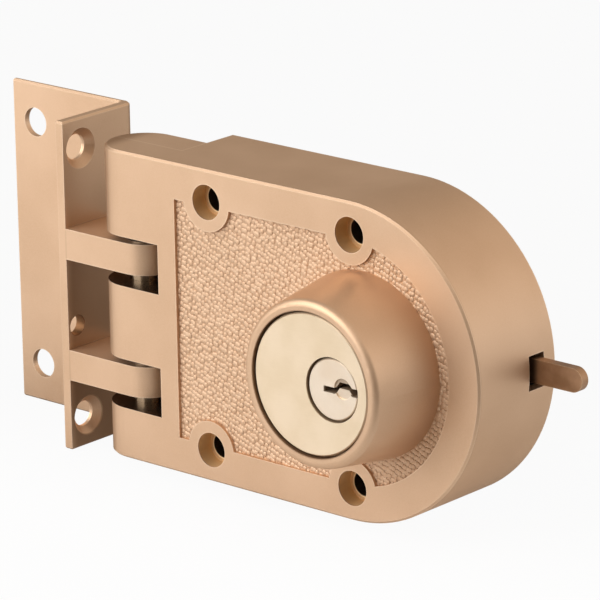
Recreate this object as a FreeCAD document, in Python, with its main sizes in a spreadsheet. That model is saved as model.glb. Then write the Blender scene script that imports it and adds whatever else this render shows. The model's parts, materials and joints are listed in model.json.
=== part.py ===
import FreeCAD, Part
import math
import os

import Sketcher

# Surface-mounted double cylinder deadlock with interlocking rings, and its angle strike.
#
# Frame: the origin lies on the key plug's axis in the plane of the door face.
# +X points away from the strike, +Y into the door and +Z up. The inside of the room is at -Y.
# Levels along Y are given as heights above the door face, so a level of 20 lies at Y = -20.

DRIVING_SIZES = [
    ("case_height", 66.7, "case, top to bottom"),
    ("case_depth", 23.8, "case, door face to front face"),
    ("backset", 60.3, "door edge to plug axis"),
    ("round_shift", 8.9, "plug axis to the centre of the round end"),
    ("wall", 2.3, "side walls of the case"),
    ("front_wall", 3.0, "front wall of the case"),
    ("edge_bevel", 0.45, "bevel of the case's front edges"),
    ("border", 7.7, "plain border round the sunk panel"),
    ("panel_left", 4.9, "door edge to the panel's straight end"),
    ("panel_depth", 0.8, "how far the panel is sunk"),
    ("mount_inset_x", 13.75, "door edge to the first fixing holes"),
    ("mount_spacing_x", 38.1, "fixing holes, along the case"),
    ("mount_inset_z", 6.85, "top or bottom of the case to the fixing holes"),
    ("mount_hole", 5.2, "fixing hole diameter"),
    ("mount_sink", 7.4, "counterbore diameter"),
    ("mount_sink_depth", 3.8, "counterbore depth"),
    ("mount_pad", 12.4, "flat pad round a fixing hole, diameter"),
    ("mount_post", 10.0, "hollow post under a fixing hole, diameter"),
    ("plate_thick", 1.6, "back plate"),
    ("plate_inset", 1.1, "lip of the case round the back plate"),
    ("plate_play", 0.1, "clearance of the back plate in its seat"),
    ("screw_diameter", 2.9, "small machine screws"),
    ("screw_head", 5.4, "countersunk heads"),
    ("screw_clearance", 0.1, "radial clearance of a screw in a plain hole"),
    ("thread_clearance", 0.05, "radial clearance of a screw in its thread"),
    ("screw_end_gap", 0.5, "free depth past a screw's end"),
    ("driver_slot_width", 0.8, "screwdriver slots"),
    ("driver_slot_depth", 0.7, "screwdriver slots"),
    ("plate_post", 6.4, "screw posts of the back plate, diameter"),
    ("plate_post_inset", 2.9, "cavity wall to a screw post's axis"),
    ("plate_screw_rise", 16.15, "round end's plate screws off the case's middle line"),
    ("plate_thread", 8.0, "threads of the back plate's screws"),
    ("nose_radius", 8.1, "rounded hook side of the case"),
    ("pin_reach", 10.7, "door edge to the locking pins' axis"),
    ("pin_diameter", 7.2, "locking pins"),
    ("pin_fit", 0.06, "radial clearance of a pin in its bore"),
    ("pin_head", 1.1, "pin above its neck"),
    ("pin_point", 0.6, "bevel of a pin's tip"),
    ("neck_diameter", 3.4, "neck of a locking pin"),
    ("neck_fit", 0.05, "clearance of a finger in a pin's neck"),
    ("tip_engagement", 1.3, "thrown pin's reach into the next knuckle"),
    ("tip_withdrawn", 0.1, "drawn pin's reach above its gap"),
    ("bore_end", 0.3, "bore past a pin's furthest reach"),
    ("bore_cover", 2.1, "metal over the pins' bore"),
    ("head_withdrawn", 0.05, "drawn lower pin's head below the upper gap"),
    ("lower_knuckle", 11.05, "height of the lowest knuckle"),
    ("spine_clearance", 0.5, "strike's ring to the spine behind it"),
    ("spine_skin", 0.6, "spine left past the cover's screws"),
    ("cover_screw_drop", 3.1, "finger to the cover's screws"),
    ("cover_screw_margin", 0.55, "lowest cover screw's head to the cavity's floor"),
    ("finger_thick", 1.8, "carrier finger"),
    ("finger_width", 5.6, "carrier finger"),
    ("finger_web", 0.9, "wall left under a finger's window"),
    ("finger_play", 0.2, "clearance of a finger at each end of its window"),
    ("finger_horn", 1.9, "finger past the pins' axis"),
    ("slide_play", 0.2, "side clearance of moving flat parts"),
    ("carrier_bar", 3.8, "width of the carrier's upright"),
    ("carrier_plate", 2.2, "carrier's plate thickness"),
    ("carrier_band", 9.9, "height of the carrier plate at the crank"),
    ("carrier_head", 10.4, "width of the carrier plate at the guide"),
    ("carrier_land", 2.6, "carrier plate beyond the ends of its guide slot"),
    ("carrier_tip_gap", 0.8, "carrier plate's tip to the tailpiece's sweep"),
    ("guide_x", 33.0, "plug axis to the guide screw"),
    ("guide_z", 6.0, "guide screw above the plug axis"),
    ("guide_shoulder", 4.0, "guide screw shoulder diameter"),
    ("guide_fit", 0.1, "clearance of the guide screw's shoulder"),
    ("guide_head", 7.4, "guide screw's head diameter"),
    ("guide_head_thick", 1.5, "guide screw's head"),
    ("guide_thread", 5.0, "guide screw's thread in its boss"),
    ("guide_boss_wall", 1.6, "boss round the guide screw's shoulder"),
    ("detent_stand", 1.7, "carrier's upright to the detent spring"),
    ("detent_thick", 0.4, "detent spring"),
    ("detent_width", 4.0, "detent spring"),
    ("detent_gap", 0.3, "detent spring's hump to the carrier"),
    ("detent_pitch", 1.3, "half height of the hump and of its notches"),
    ("detent_notch", 0.6, "depth of the carrier's detent notches"),
    ("detent_flat", 0.45, "half height of a notch's floor"),
    ("detent_drop", 2.6, "upper finger to the hump"),
    ("detent_end", 4.0, "spring above its hump"),
    ("rib_half", 1.3, "half thickness of the detent spring's rib"),
    ("rib_length", 6.0, "detent spring's rib"),
    ("rib_gap", 0.4, "carrier plate to the detent spring's rib"),
    ("crank_pin", 4.0, "crank pin diameter"),
    ("crank_play", 0.35, "clearance of the crank pin in its slot, each side"),
    ("crank_eye_wall", 1.0, "crank arm round its pin"),
    ("crank_arm", 4.2, "crank arm's thickness"),
    ("hub_journal", 10.0, "hub journal diameter"),
    ("hub_fit", 0.05, "radial clearance of the hub in its bush"),
    ("hub_setback", 0.3, "hub's rear end inside the door face"),
    ("hub_end_play", 0.1, "end clearance of the hub"),
    ("hub_shoulder", 1.5, "height of the hub's shoulder"),
    ("hub_disc", 14.0, "hub's notched disc diameter"),
    ("hub_rim", 1.0, "disc's rim beyond the hub's shoulder"),
    ("notch_depth", 2.5, "notches of the hub"),
    ("notch_width", 3.8, "notches of the hub"),
    ("notch_shift", 0.8, "notch's middle beside the plug axis"),
    ("bush_wall", 1.5, "bush round the hub's journal"),
    ("bush_stand", 1.3, "bush above the back plate"),
    ("bush_flange", 2.0, "flange of the bush, beyond its wall"),
    ("bush_flange_thick", 0.8, "flange of the bush"),
    ("bush_press", 0.02, "bush in its hole, radial"),
    ("lever_pivot_inset", 8.95, "round end of the case to the stop lever's pivot"),
    ("lever_pivot_z", 0.5, "stop lever's pivot above the plug axis"),
    ("lever_thick", 2.0, "stop lever"),
    ("lever_gap", 0.2, "disc's faces beyond the stop lever's"),
    ("lever_height", 5.0, "stop lever's blade"),
    ("lever_blade", 12.0, "blade beyond the case"),
    ("lever_eye_wall", 1.3, "lever's eye beyond its blade"),
    ("lever_slot_height", 7.25, "slot for the blade"),
    ("lever_slot_width", 4.7, "slot for the blade"),
    ("lever_drop", 1.5, "slot below the blade"),
    ("lever_nose", 2.2, "width of the lever's nose"),
    ("lever_nose_gap", 0.35, "hub's disc to the nose"),
    ("lever_arm_gap", 2.8, "hub's disc to the lever's arm"),
    ("lever_arm", 3.4, "width of the lever's arm"),
    ("lever_arm_inner", 9.5, "pivot to the arm's inner bend"),
    ("lever_arm_outer", 7.5, "pivot to the arm's outer bend"),
    ("rivet_diameter", 3.0, "lever stud where it turns and is riveted"),
    ("rivet_fit", 0.05, "radial clearance of the lever on its stud"),
    ("rivet_press", 0.02, "lever stud in the back plate, radial"),
    ("stud_shoulder", 1.2, "lever stud's shoulder beyond its rivet"),
    ("stud_end_play", 0.1, "clearance along the lever stud"),
    ("stud_head", 1.3, "lever stud's head beyond its rivet"),
    ("stud_head_thick", 0.8, "lever stud's head"),
    ("washer_thick", 0.5, "friction washer"),
    ("washer_wall", 1.5, "friction washer, bore to rim"),
    ("collar_shift", 5.5, "plug axis to the collar's axis"),
    ("collar_wall", 2.5, "collar's wall at its lip"),
    ("collar_flare", 2.3, "how much wider the collar is at the panel, each side"),
    ("collar_height", 16.0, "collar above the case front"),
    ("collar_round", 1.5, "rounding of the collar's lip"),
    ("cylinder_diameter", 29.2, "key cylinder"),
    ("cylinder_fit", 0.1, "radial clearance of the key cylinder in its collar"),
    ("cylinder_bevel", 0.3, "bevel of the key cylinder's face"),
    ("lip_relief", 0.3, "collar's bore widened at its lip, radial"),
    ("lip_relief_depth", 2.2, "widened bore, from the lip"),
    ("face_sunk", 0.4, "key cylinder's face behind the collar's lip"),
    ("seat_thick", 2.1, "seat behind the key cylinder"),
    ("cup_wall", 1.8, "wall of the cup round the cylinder's rear"),
    ("cylinder_screw_inset", 2.4, "cylinder's rim to its screws"),
    ("cylinder_screw_head", 5.0, "head of a cylinder screw, diameter"),
    ("cylinder_screw_head_thick", 1.4, "head of a cylinder screw"),
    ("cylinder_thread", 6.0, "threads of the cylinder screws"),
    ("plug_diameter", 12.7, "key plug"),
    ("plug_fit", 0.05, "radial clearance of the plug"),
    ("plug_bevel", 0.3, "bevel of the plug's face"),
    ("plug_relief", 0.3, "plug's bore widened at the cylinder's face, radial"),
    ("plug_relief_depth", 1.3, "widened bore, from the cylinder's face"),
    ("plug_sunk", 0.35, "plug face behind the cylinder face"),
    ("journal_diameter", 8.4, "plug's rear journal"),
    ("journal_length", 2.0, "plug's rear journal"),
    ("clip_thick", 0.7, "plug's spring clip"),
    ("clip_stand", 1.1, "spring clip beyond the plug"),
    ("clip_groove", 0.6, "depth of the clip's groove"),
    ("clip_fit", 0.05, "clearance of the clip in its groove"),
    ("clip_mouth", 3.2, "open side of the clip"),
    ("clip_room", 0.3, "radial clearance round the clip"),
    ("clip_end_play", 0.1, "clip behind the cylinder"),
    ("key_slot", 1.25, "keyway, width"),
    ("key_slot_start", 2.4, "keyway's closed end from the plug's axis"),
    ("key_slot_drop", 0.15, "keyway's middle below the plug's axis"),
    ("key_mouth", 1.7, "keyway's open end, width"),
    ("key_mouth_rise", 0.5, "keyway's open end above its closed end"),
    ("ward_first", 0.5, "plug's axis to the keyway's first ward"),
    ("ward_second", 3.9, "plug's axis to the keyway's second ward"),
    ("ward_slope", 1.0, "slanted side of a ward"),
    ("ward_rise", 1.3, "height of the wards"),
    ("dimple_diameter", 4.3, "dimple that guides the key"),
    ("dimple_x", 2.5, "plug's axis to the dimple"),
    ("dimple_z", 0.6, "dimple above the plug's axis"),
    ("dimple_depth", 0.35, "dimple"),
    ("keyway_end", 1.6, "metal behind the keyway"),
    ("tumbler_diameter", 2.9, "key pins and drivers"),
    ("tumbler_fit", 0.05, "radial clearance of a tumbler"),
    ("tumbler_first", 5.0, "cylinder face to the first tumbler"),
    ("tumbler_last", 2.0, "last tumbler to the cylinder's rear"),
    ("shear_gap", 0.06, "gap at the shear line"),
    ("key_pin_sunk", 0.2, "key pins below the plug's surface"),
    ("key_pin_longest", 4.9, "key pin over an uncut key"),
    ("key_cut_step", 0.3, "depth of one step of a key's cut"),
    ("key_pin_cone", 1.0, "pointed end of a key pin"),
    ("key_pin_point", 0.9, "flat at the end of a key pin, diameter"),
    ("driver_length", 4.2, "drivers"),
    ("spring_wall", 0.4, "wall of the tube that stands for a tumbler spring"),
    ("spring_play", 0.15, "radial clearance of a tumbler spring"),
    ("cap_thick", 1.2, "chamber caps"),
    ("cap_sunk", 0.6, "chamber caps below the cylinder's surface"),
    ("cap_press", 0.03, "chamber cap beyond a tumbler's radius"),
    ("tail_width", 5.8, "tailpiece"),
    ("tail_thick", 1.4, "tailpiece"),
    ("tail_side_play", 0.2, "clearance at the tailpiece's edges"),
    ("tail_face_play", 0.05, "clearance at the tailpiece's faces"),
    ("tail_head_thick", 0.8, "tailpiece's round head"),
    ("tail_head_play", 0.2, "radial clearance of the tailpiece's head"),
    ("tail_end_gap", 2.0, "back plate's front to the tailpiece's end"),
    ("tail_cap_gap", 0.7, "carrier's plate to the tailpiece's cap"),
    ("tail_cap_floor", 0.6, "floor of the tailpiece's cap"),
    ("tail_cap_wall", 1.0, "wall of the tailpiece's cap"),
    ("tail_cap_thread", 1.0, "cap's hold on the plug's journal"),
    ("tail_cap_fit", 0.03, "radial clearance of the cap on the journal"),
    ("strike_overhang", 2.65, "angle strike beyond the case, at each end"),
    ("strike_thick", 2.4, "strike's side leg, thickness"),
    ("strike_leg_thick", 1.4, "strike's leg on the frame, thickness"),
    ("strike_leg", 34.6, "strike's leg on the frame, width"),
    ("strike_clearance", 9.3, "nose of the case to the strike's other leg"),
    ("strike_bend", 2.0, "outer radius of the strike's corner"),
    ("strike_fillet", 0.8, "inner radius of the strike's corner"),
    ("strike_bevel", 0.4, "bevel of the strike's edges"),
    ("ring_clearance", 0.4, "radial clearance of a pin in the strike's ring"),
    ("ring_wall", 2.1, "wall of the strike's rings"),
    ("arm_height", 6.7, "arm of the strike"),
    ("arm_spread", 2.0, "how much deeper an arm is at its leg"),
    ("leg_hole", 6.4, "hole in the frame leg"),
    ("leg_hole_inset", 6.7, "frame leg's edge to its holes"),
    ("leg_hole_end", 8.7, "strike's end to the frame leg's holes"),
    ("side_hole", 5.5, "countersunk hole in the side leg"),
    ("side_hole_inset", 5.3, "side leg's edge to its countersunk holes"),
    ("side_hole_end", 6.6, "strike's end to the side leg's countersunk holes"),
    ("side_sink", 1.6, "countersink of the side leg's holes"),
    ("nail_hole", 4.4, "plain hole in the side leg"),
    ("nail_hole_inset", 2.7, "side leg's edge to the plain hole"),
    ("nail_hole_above_arm", 8.2, "lower arm's middle to the plain hole"),
    ("tool_run", 1.0, "how far a cut runs past an open side"),
]

# Steps that the right key's cuts lie below its uncut edge, from the face inwards
KEY_CUTS = [1, 4, 0, 3, 5]


class Size:
    """A length that carries its number and the sheet expression it comes from."""

    def __init__(self, number, text):
        self.number = number
        self.text = text

    def __add__(self, other):
        other = as_size(other)
        return Size(self.number + other.number, f"({self.text} + {other.text})")

    def __sub__(self, other):
        other = as_size(other)
        return Size(self.number - other.number, f"({self.text} - {other.text})")

    def __mul__(self, other):
        other = as_size(other)
        return Size(self.number * other.number, f"({self.text} * {other.text})")

    def __truediv__(self, other):
        other = as_size(other)
        return Size(self.number / other.number, f"({self.text} / {other.text})")

    def __neg__(self):
        return Size(-self.number, f"(0 - {self.text})")

    def __rmul__(self, other):
        return as_size(other) * self


def as_size(value):
    if isinstance(value, Size):
        return value
    return Size(float(value), f"({float(value)!r})")


doc = FreeCAD.newDocument("DoubleCylinderLock")
sheet = doc.addObject("Spreadsheet::Sheet", "Sizes")
numbers = {}
for row, (alias, value, meaning) in enumerate(DRIVING_SIZES, start=1):
    sheet.set(f"A{row}", meaning)
    sheet.set(f"B{row}", str(value))
    sheet.setAlias(f"B{row}", alias)
    numbers[alias] = value
doc.recompute()


def size(alias):
    return Size(float(numbers[alias]), f"Sizes.{alias}")


def root(value):
    return Size(math.sqrt(value.number), f"sqrt({value.text})")


# Case: outline, cavity and fixing holes

half_height = size("case_height") / 2
case_front = size("case_depth")
panel_floor = case_front - size("panel_depth")
door_edge = -size("backset")
round_x = -size("round_shift")
case_end = round_x + half_height
cavity_left = door_edge + size("wall")
cavity_front = case_front - size("front_wall")
cavity_radius = half_height - size("wall")

mount_xs = [door_edge + size("mount_inset_x"),
            door_edge + size("mount_inset_x") + size("mount_spacing_x")]
mount_zs = [half_height - size("mount_inset_z"), size("mount_inset_z") - half_height]
mount_points = [(x, z) for x in mount_xs for z in mount_zs]

plate_screw_reach = cavity_radius - size("plate_post_inset")
plate_screw_rise = size("plate_screw_rise")
round_screw_x = round_x + root(plate_screw_reach * plate_screw_reach
                               - plate_screw_rise * plate_screw_rise)
plate_screw_points = [
    ((mount_xs[0] + mount_xs[1]) / 2, plate_screw_reach),
    ((mount_xs[0] + mount_xs[1]) / 2, -plate_screw_reach),
    (round_screw_x, plate_screw_rise),
    (round_screw_x, -plate_screw_rise),
]
screw_radius = size("screw_diameter") / 2
screw_hole_radius = screw_radius + size("screw_clearance")
thread_radius = screw_radius + size("thread_clearance")
screw_sink = (size("screw_head") - size("screw_diameter")) / 2

# Knuckles, gaps and locking pins, counted down from the case's top

pin_x = door_edge - size("pin_reach")
pin_level = case_front - size("nose_radius")
pin_bore_radius = size("pin_diameter") / 2 + size("pin_fit")
finger_lift = size("finger_web") + size("finger_play")
pin_top = finger_lift + size("finger_thick") + size("pin_head")
pin_grip = size("tip_engagement") + size("tip_withdrawn")
gap_height = (size("case_height") - size("bore_cover") - size("bore_end") - (pin_top + pin_grip) * 2
              - size("head_withdrawn") - size("lower_knuckle")) / 4
travel = gap_height + pin_grip
pin_room = pin_top + travel
upper_gap_top = half_height - size("bore_cover") - size("bore_end") - pin_room
upper_gap_bottom = upper_gap_top - gap_height
lower_gap_top = upper_gap_bottom - size("head_withdrawn") - pin_room
gap_tops = [upper_gap_top, lower_gap_top]
gap_bottoms = [upper_gap_bottom, lower_gap_top - gap_height]
finger_bottoms = [top + finger_lift for top in gap_tops]
pin_tips = [bottom - size("tip_engagement") for bottom in gap_bottoms]
finger_front = pin_level + size("finger_width") / 2
finger_rear = pin_level - size("finger_width") / 2

ring_bore_radius = size("pin_diameter") / 2 + size("ring_clearance")
ring_radius = ring_bore_radius + size("ring_wall")
spine_x = pin_x + ring_radius + size("spine_clearance")
cover_bite = door_edge - spine_x - size("spine_skin")
cover_screw_level = finger_rear - size("cover_screw_drop")
cover_screw_zs = [
    (gap_tops[0] + half_height) / 2,
    (gap_bottoms[0] + gap_tops[1]) / 2,
    size("screw_head") / 2 + size("cover_screw_margin") - cavity_radius,
]

# Levels of the mechanism, counted up from the back plate

bush_radius = size("hub_journal") / 2 + size("bush_wall")
bush_front = size("plate_thick") + size("bush_stand")
shoulder_level = bush_front + size("hub_end_play")
disc_radius = size("hub_disc") / 2
shoulder_radius = disc_radius - size("hub_rim")
disc_level = shoulder_level + size("hub_shoulder")
lever_level = disc_level + size("lever_gap")
lever_front = lever_level + size("lever_thick")
disc_front = lever_front + size("lever_gap")
crank_level = disc_front + size("crank_arm")
crank_offset = travel / 2
carrier_level = crank_level + size("slide_play")
carrier_front = carrier_level + size("carrier_plate")
tail_cap_level = carrier_front + size("tail_cap_gap")
tail_head_level = tail_cap_level + size("tail_cap_floor") + size("tail_head_thick")
tail_end_level = size("plate_thick") + size("tail_end_gap")
tail_sweep = size("tail_width") / 2 + size("tail_side_play")

# Carrier and its detent

bar_left = cavity_left + size("slide_play")
bar_right = bar_left + size("carrier_bar")
carrier_top = finger_bottoms[0] + size("finger_thick")
carrier_tip = -(size("tail_width") / 2 + size("carrier_tip_gap"))
guide_half = size("guide_shoulder") / 2 + size("guide_fit")
detent_x = bar_right + size("detent_stand")
detent_z = finger_bottoms[0] - size("detent_drop")
rib_z = -size("carrier_band")
rib_level = carrier_front + size("rib_gap")

# Stop lever

pivot_x = case_end - size("lever_pivot_inset")
pivot_z = size("lever_pivot_z")
rivet_radius = size("rivet_diameter") / 2
blade_half = size("lever_height") / 2
blade_tip = case_end + size("lever_blade")

# Key cylinder: its seat stands over the mechanism, its face just inside the collar's lip

collar_x = -size("collar_shift")
collar_front = case_front + size("collar_height")
cylinder_radius = size("cylinder_diameter") / 2
cylinder_bore_radius = cylinder_radius + size("cylinder_fit")
lip_radius = cylinder_bore_radius + size("collar_wall")
face_level = collar_front - size("face_sunk")
seat_level = tail_head_level + size("journal_length")
cup_level = seat_level - size("seat_thick")
cylinder_screw_zs = [cylinder_radius - size("cylinder_screw_inset"),
                     size("cylinder_screw_inset") - cylinder_radius]
plug_radius = size("plug_diameter") / 2
plug_bore_radius = plug_radius + size("plug_fit")
plug_face = face_level - size("plug_sunk")
journal_radius = size("journal_diameter") / 2
clip_radius = plug_radius + size("clip_stand")
clip_seat = seat_level - size("clip_end_play")

tumbler_radius = size("tumbler_diameter") / 2
tumbler_hole_radius = tumbler_radius + size("tumbler_fit")
first_tumbler = face_level - size("tumbler_first")
tumbler_step = (first_tumbler - seat_level - size("tumbler_last")) / (len(KEY_CUTS) - 1)
tumbler_levels = [first_tumbler - tumbler_step * count for count in range(len(KEY_CUTS))]
driver_start = plug_bore_radius + size("shear_gap")
driver_end = driver_start + size("driver_length")
chamber_end = size("collar_shift") + cylinder_radius
cap_end = chamber_end - size("cap_sunk")
cap_start = cap_end - size("cap_thick")

# Angle strike

strike_half = half_height + size("strike_overhang")
side_face = pin_x - size("nose_radius") - size("strike_clearance")
side_rear_face = side_face - size("strike_thick")
leg_end = side_face - size("strike_leg")
arm_front = pin_level + ring_radius
arm_rear = pin_level - ring_radius
arm_zs = [(top + bottom) / 2 for top, bottom in zip(gap_tops, gap_bottoms)]


def bind(item, name, value):
    """Tie a property of an object to the sheet."""
    item.setExpression(name, as_size(value).text)


def new_body(name):
    body = doc.addObject("PartDesign::Body", name)
    body.Label = name
    return body


class Sketch:
    """A sketch on one of its own body's origin planes, with every point tied to the sheet.

    On XZ_Plane the level counts towards the room, on XY_Plane upwards and on YZ_Plane along +X.
    """

    def __init__(self, body, name, plane, level=0.0, centre_x=0.0):
        self.item = body.newObject("Sketcher::SketchObject", name)
        support = [feature for feature in body.Origin.OriginFeatures if feature.Role == plane]
        self.item.AttachmentSupport = [(support[0], "")]
        self.item.MapMode = "FlatFace"
        bind(self.item, "AttachmentOffset.Base.z", level)
        bind(self.item, "AttachmentOffset.Base.x", centre_x)

    def _tie(self, kind, *places, value):
        value = as_size(value)
        index = self.item.addConstraint(Sketcher.Constraint(kind, *places, value.number))
        self.item.setExpression(f"Constraints[{index}]", value.text)

    def _pin(self, geometry, position, x, y):
        for value, kind, axis in ((x, "DistanceX", -2), (y, "DistanceY", -1)):
            if not isinstance(value, Size) and value == 0:
                self.item.addConstraint(
                    Sketcher.Constraint("PointOnObject", geometry, position, axis))
            else:
                self._tie(kind, -1, 1, geometry, position, value=value)

    def circle(self, x, y, radius):
        centre = FreeCAD.Vector(as_size(x).number, as_size(y).number, 0)
        shape = Part.Circle(centre, FreeCAD.Vector(0, 0, 1), as_size(radius).number)
        index = self.item.addGeometry(shape, False)
        self._pin(index, 3, x, y)
        self._tie("Radius", index, value=radius)
        return self

    def outline(self, points):
        """Closed outline. A point (x, y) is reached by a line, and a point
        (x, y, radius, turn) by an arc of under half a circle, turn 1 counter-clockwise."""
        places = [FreeCAD.Vector(as_size(p[0]).number, as_size(p[1]).number, 0) for p in points]
        edges = []
        for here, point in enumerate(points):
            start, end = places[here - 1], places[here]
            if len(point) == 2:
                index = self.item.addGeometry(Part.LineSegment(start, end), False)
                edges.append((index, 1, 2))
                continue
            radius, turn = point[2], point[3]
            chord = end - start
            rise = math.sqrt(max(as_size(radius).number ** 2 - chord.Length ** 2 / 4, 0.0))
            left = FreeCAD.Vector(-chord.y, chord.x, 0).normalize()
            centre = (start + end) * 0.5 + left * (rise * turn)
            circle = Part.Circle(centre, FreeCAD.Vector(0, 0, 1), as_size(radius).number)
            first, last = (start, end) if turn > 0 else (end, start)
            arc = Part.ArcOfCircle(circle, circle.parameter(first), circle.parameter(last))
            index = self.item.addGeometry(arc, False)
            self._tie("Radius", index, value=radius)
            edges.append((index, 1, 2) if turn > 0 else (index, 2, 1))
        for here, point in enumerate(points):
            index, _, end = edges[here]
            following, start, _ = edges[(here + 1) % len(points)]
            self.item.addConstraint(Sketcher.Constraint("Coincident", index, end, following, start))
            self._pin(index, end, point[0], point[1])
        return self

    def rectangle(self, x_low, y_low, x_high, y_high):
        return self.outline([(x_low, y_low), (x_high, y_low), (x_high, y_high), (x_low, y_high)])


def pad(body, sketch, length, symmetric=False):
    """Add material from the sketch along its normal."""
    feature = body.newObject("PartDesign::Pad", f"{sketch.item.Name}_pad")
    feature.Profile = sketch.item
    bind(feature, "Length", length)
    feature.Midplane = symmetric
    sketch.item.Visibility = False
    return feature


def cut(body, sketch, length, symmetric=False):
    """Remove material from the sketch against its normal, and check that some went."""
    doc.recompute()
    before = body.Shape.Volume
    feature = body.newObject("PartDesign::Pocket", f"{sketch.item.Name}_cut")
    feature.Profile = sketch.item
    bind(feature, "Length", length)
    feature.Midplane = symmetric
    sketch.item.Visibility = False
    doc.recompute()
    if not body.Shape.Volume < before:
        raise RuntimeError(f"{feature.Name} removes nothing")
    return feature


def revolve(body, sketch):
    """Turn the sketch about its own vertical axis."""
    feature = body.newObject("PartDesign::Revolution", f"{sketch.item.Name}_turn")
    feature.Profile = sketch.item
    feature.ReferenceAxis = (sketch.item, ["V_Axis"])
    feature.Angle = 360
    sketch.item.Visibility = False
    return feature


def dress(body, kind, name, amount, wanted):
    """Fillet or chamfer every edge of the body for which wanted(edge) is true."""
    doc.recompute()
    base = body.Tip
    names = [f"Edge{i}" for i, edge in enumerate(base.Shape.Edges, start=1) if wanted(edge)]
    if not names:
        raise RuntimeError(f"{name} finds no edge")
    feature = body.newObject(f"PartDesign::{kind}", name)
    feature.Base = (base, names)
    bind(feature, "Radius" if kind == "Fillet" else "Size", amount)
    return feature


def near(a, b):
    return abs(a - as_size(b).number) < 0.001


def in_plane(edge, axis, value):
    """Whether an edge lies in the plane where the coordinate named by axis has this value."""
    box = edge.BoundBox
    return near(getattr(box, axis + "Min"), value) and near(getattr(box, axis + "Max"), value)


def is_circle(edge, radius):
    return isinstance(edge.Curve, Part.Circle) and near(edge.Curve.Radius, radius)


def place(item, x, level, z):
    """Put an object at a place given by x, height above the door face and z."""
    bind(item, "Placement.Base.x", x)
    bind(item, "Placement.Base.y", -as_size(level))
    bind(item, "Placement.Base.z", z)
    return item


def point_along(item, direction):
    """Turn an object whose own axis is vertical so that it points along a direction."""
    item.Placement.Rotation = FreeCAD.Rotation(FreeCAD.Vector(0, 0, 1), FreeCAD.Vector(*direction))


def cylinder(name, radius, height):
    item = doc.addObject("Part::Cylinder", name)
    bind(item, "Radius", radius)
    bind(item, "Height", height)
    return item


def group(name, items):
    """One node that holds several separate solids."""
    if len(items) == 1:
        items[0].Label = name
        return items[0]
    compound = doc.addObject("Part::Compound", name)
    compound.Links = items
    compound.Label = name
    return compound


def round_ended(left, half, centre_x):
    """Outline of the case: straight on the left, a full round of radius half on the right."""
    return [
        (left, -half),
        (centre_x, -half),
        (centre_x + half, 0, half, 1),
        (centre_x, half, half, 1),
        (left, half),
    ]


def nose_outline(rear):
    """Plan of one half of the rounded hook side, split at the pins' axis."""
    radius = size("nose_radius")
    if rear:
        return [
            (door_edge, -pin_level),
            (door_edge, radius - pin_level),
            (pin_x, radius - pin_level),
            (pin_x - radius, -pin_level, radius, 1),
        ]
    return [
        (door_edge, -pin_level),
        (pin_x - radius, -pin_level),
        (pin_x, -case_front, radius, 1),
        (door_edge, -case_front),
    ]


def cut_gaps(body, right, level):
    """Open the two gaps between the knuckles from the nose as far as x = right."""
    gaps = Sketch(body, "gaps", "XZ_Plane", level)
    for top, bottom in zip(gap_tops, gap_bottoms):
        gaps.rectangle(pin_x - size("nose_radius") - size("tool_run"), bottom, right, top)
    cut(body, gaps, size("nose_radius"))


def cut_pin_bore(body):
    """One bore runs through all three knuckles."""
    top = half_height - size("bore_cover")
    bottom = pin_tips[1] - size("bore_end")
    bore = Sketch(body, "pin_bore", "XY_Plane", top)
    bore.circle(pin_x, -pin_level, pin_bore_radius)
    cut(body, bore, top - bottom)


def cut_finger_windows(body, right):
    """Windows through which the carrier's fingers reach the pins."""
    width = size("finger_width") + 2 * size("slide_play")
    windows = Sketch(body, "finger_windows", "XZ_Plane", pin_level + width / 2)
    for bottom in finger_bottoms:
        top = bottom + size("finger_thick") + travel + size("finger_play")
        windows.rectangle(pin_x, bottom - size("finger_play"), right, top)
    cut(body, windows, width)


def is_front_edge(edge):
    """The rim of the case's front face and the ends of the nose's round."""
    if in_plane(edge, "Y", -case_front):
        return not in_plane(edge, "X", door_edge)
    return is_circle(edge, size("nose_radius")) and near(abs(edge.BoundBox.ZMin), half_height)


def make_case_shell():
    """Die-cast case: round-ended block, front knuckle halves, sunk panel, collar and cavity."""
    body = new_body("case_shell")
    pad(body, Sketch(body, "block", "XZ_Plane").outline(
        round_ended(door_edge, half_height, round_x)), case_front)
    pad(body, Sketch(body, "nose", "XY_Plane").outline(nose_outline(rear=False)),
        size("case_height"), symmetric=True)
    dress(body, "Chamfer", "front_bevel", size("edge_bevel"), is_front_edge)
    cut_case_panel(body)
    add_collar(body)
    cut_cavity(body)
    add_inner_posts(body)
    cut_cylinder_bore(body)
    cut_fixing_holes(body)
    cut_gaps(body, door_edge, case_front)
    cut_pin_bore(body)
    cut_finger_windows(body, cavity_left)
    cut_cover_screw_holes(body)
    cut_lever_slot(body)
    return body


def cut_case_panel(body):
    """Sunk panel, with the flat pads round the fixing holes left standing."""
    panel = Sketch(body, "panel", "XZ_Plane", case_front)
    panel.outline(round_ended(door_edge + size("panel_left"), half_height - size("border"), round_x))
    cut(body, panel, size("panel_depth"))
    pads = Sketch(body, "fixing_pads", "XZ_Plane", panel_floor)
    for x, z in mount_points:
        pads.circle(x, z, size("mount_pad") / 2)
    pad(body, pads, size("panel_depth"))


def add_collar(body):
    """Tapered collar that stands round the key cylinder."""
    collar = Sketch(body, "collar", "XY_Plane", centre_x=collar_x)
    collar.outline([
        (0, -panel_floor),
        (0, -collar_front),
        (lip_radius, -collar_front),
        (lip_radius + size("collar_flare"), -panel_floor),
    ])
    revolve(body, collar)
    dress(body, "Fillet", "collar_lip", size("collar_round"),
          lambda edge: is_circle(edge, lip_radius))


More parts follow.
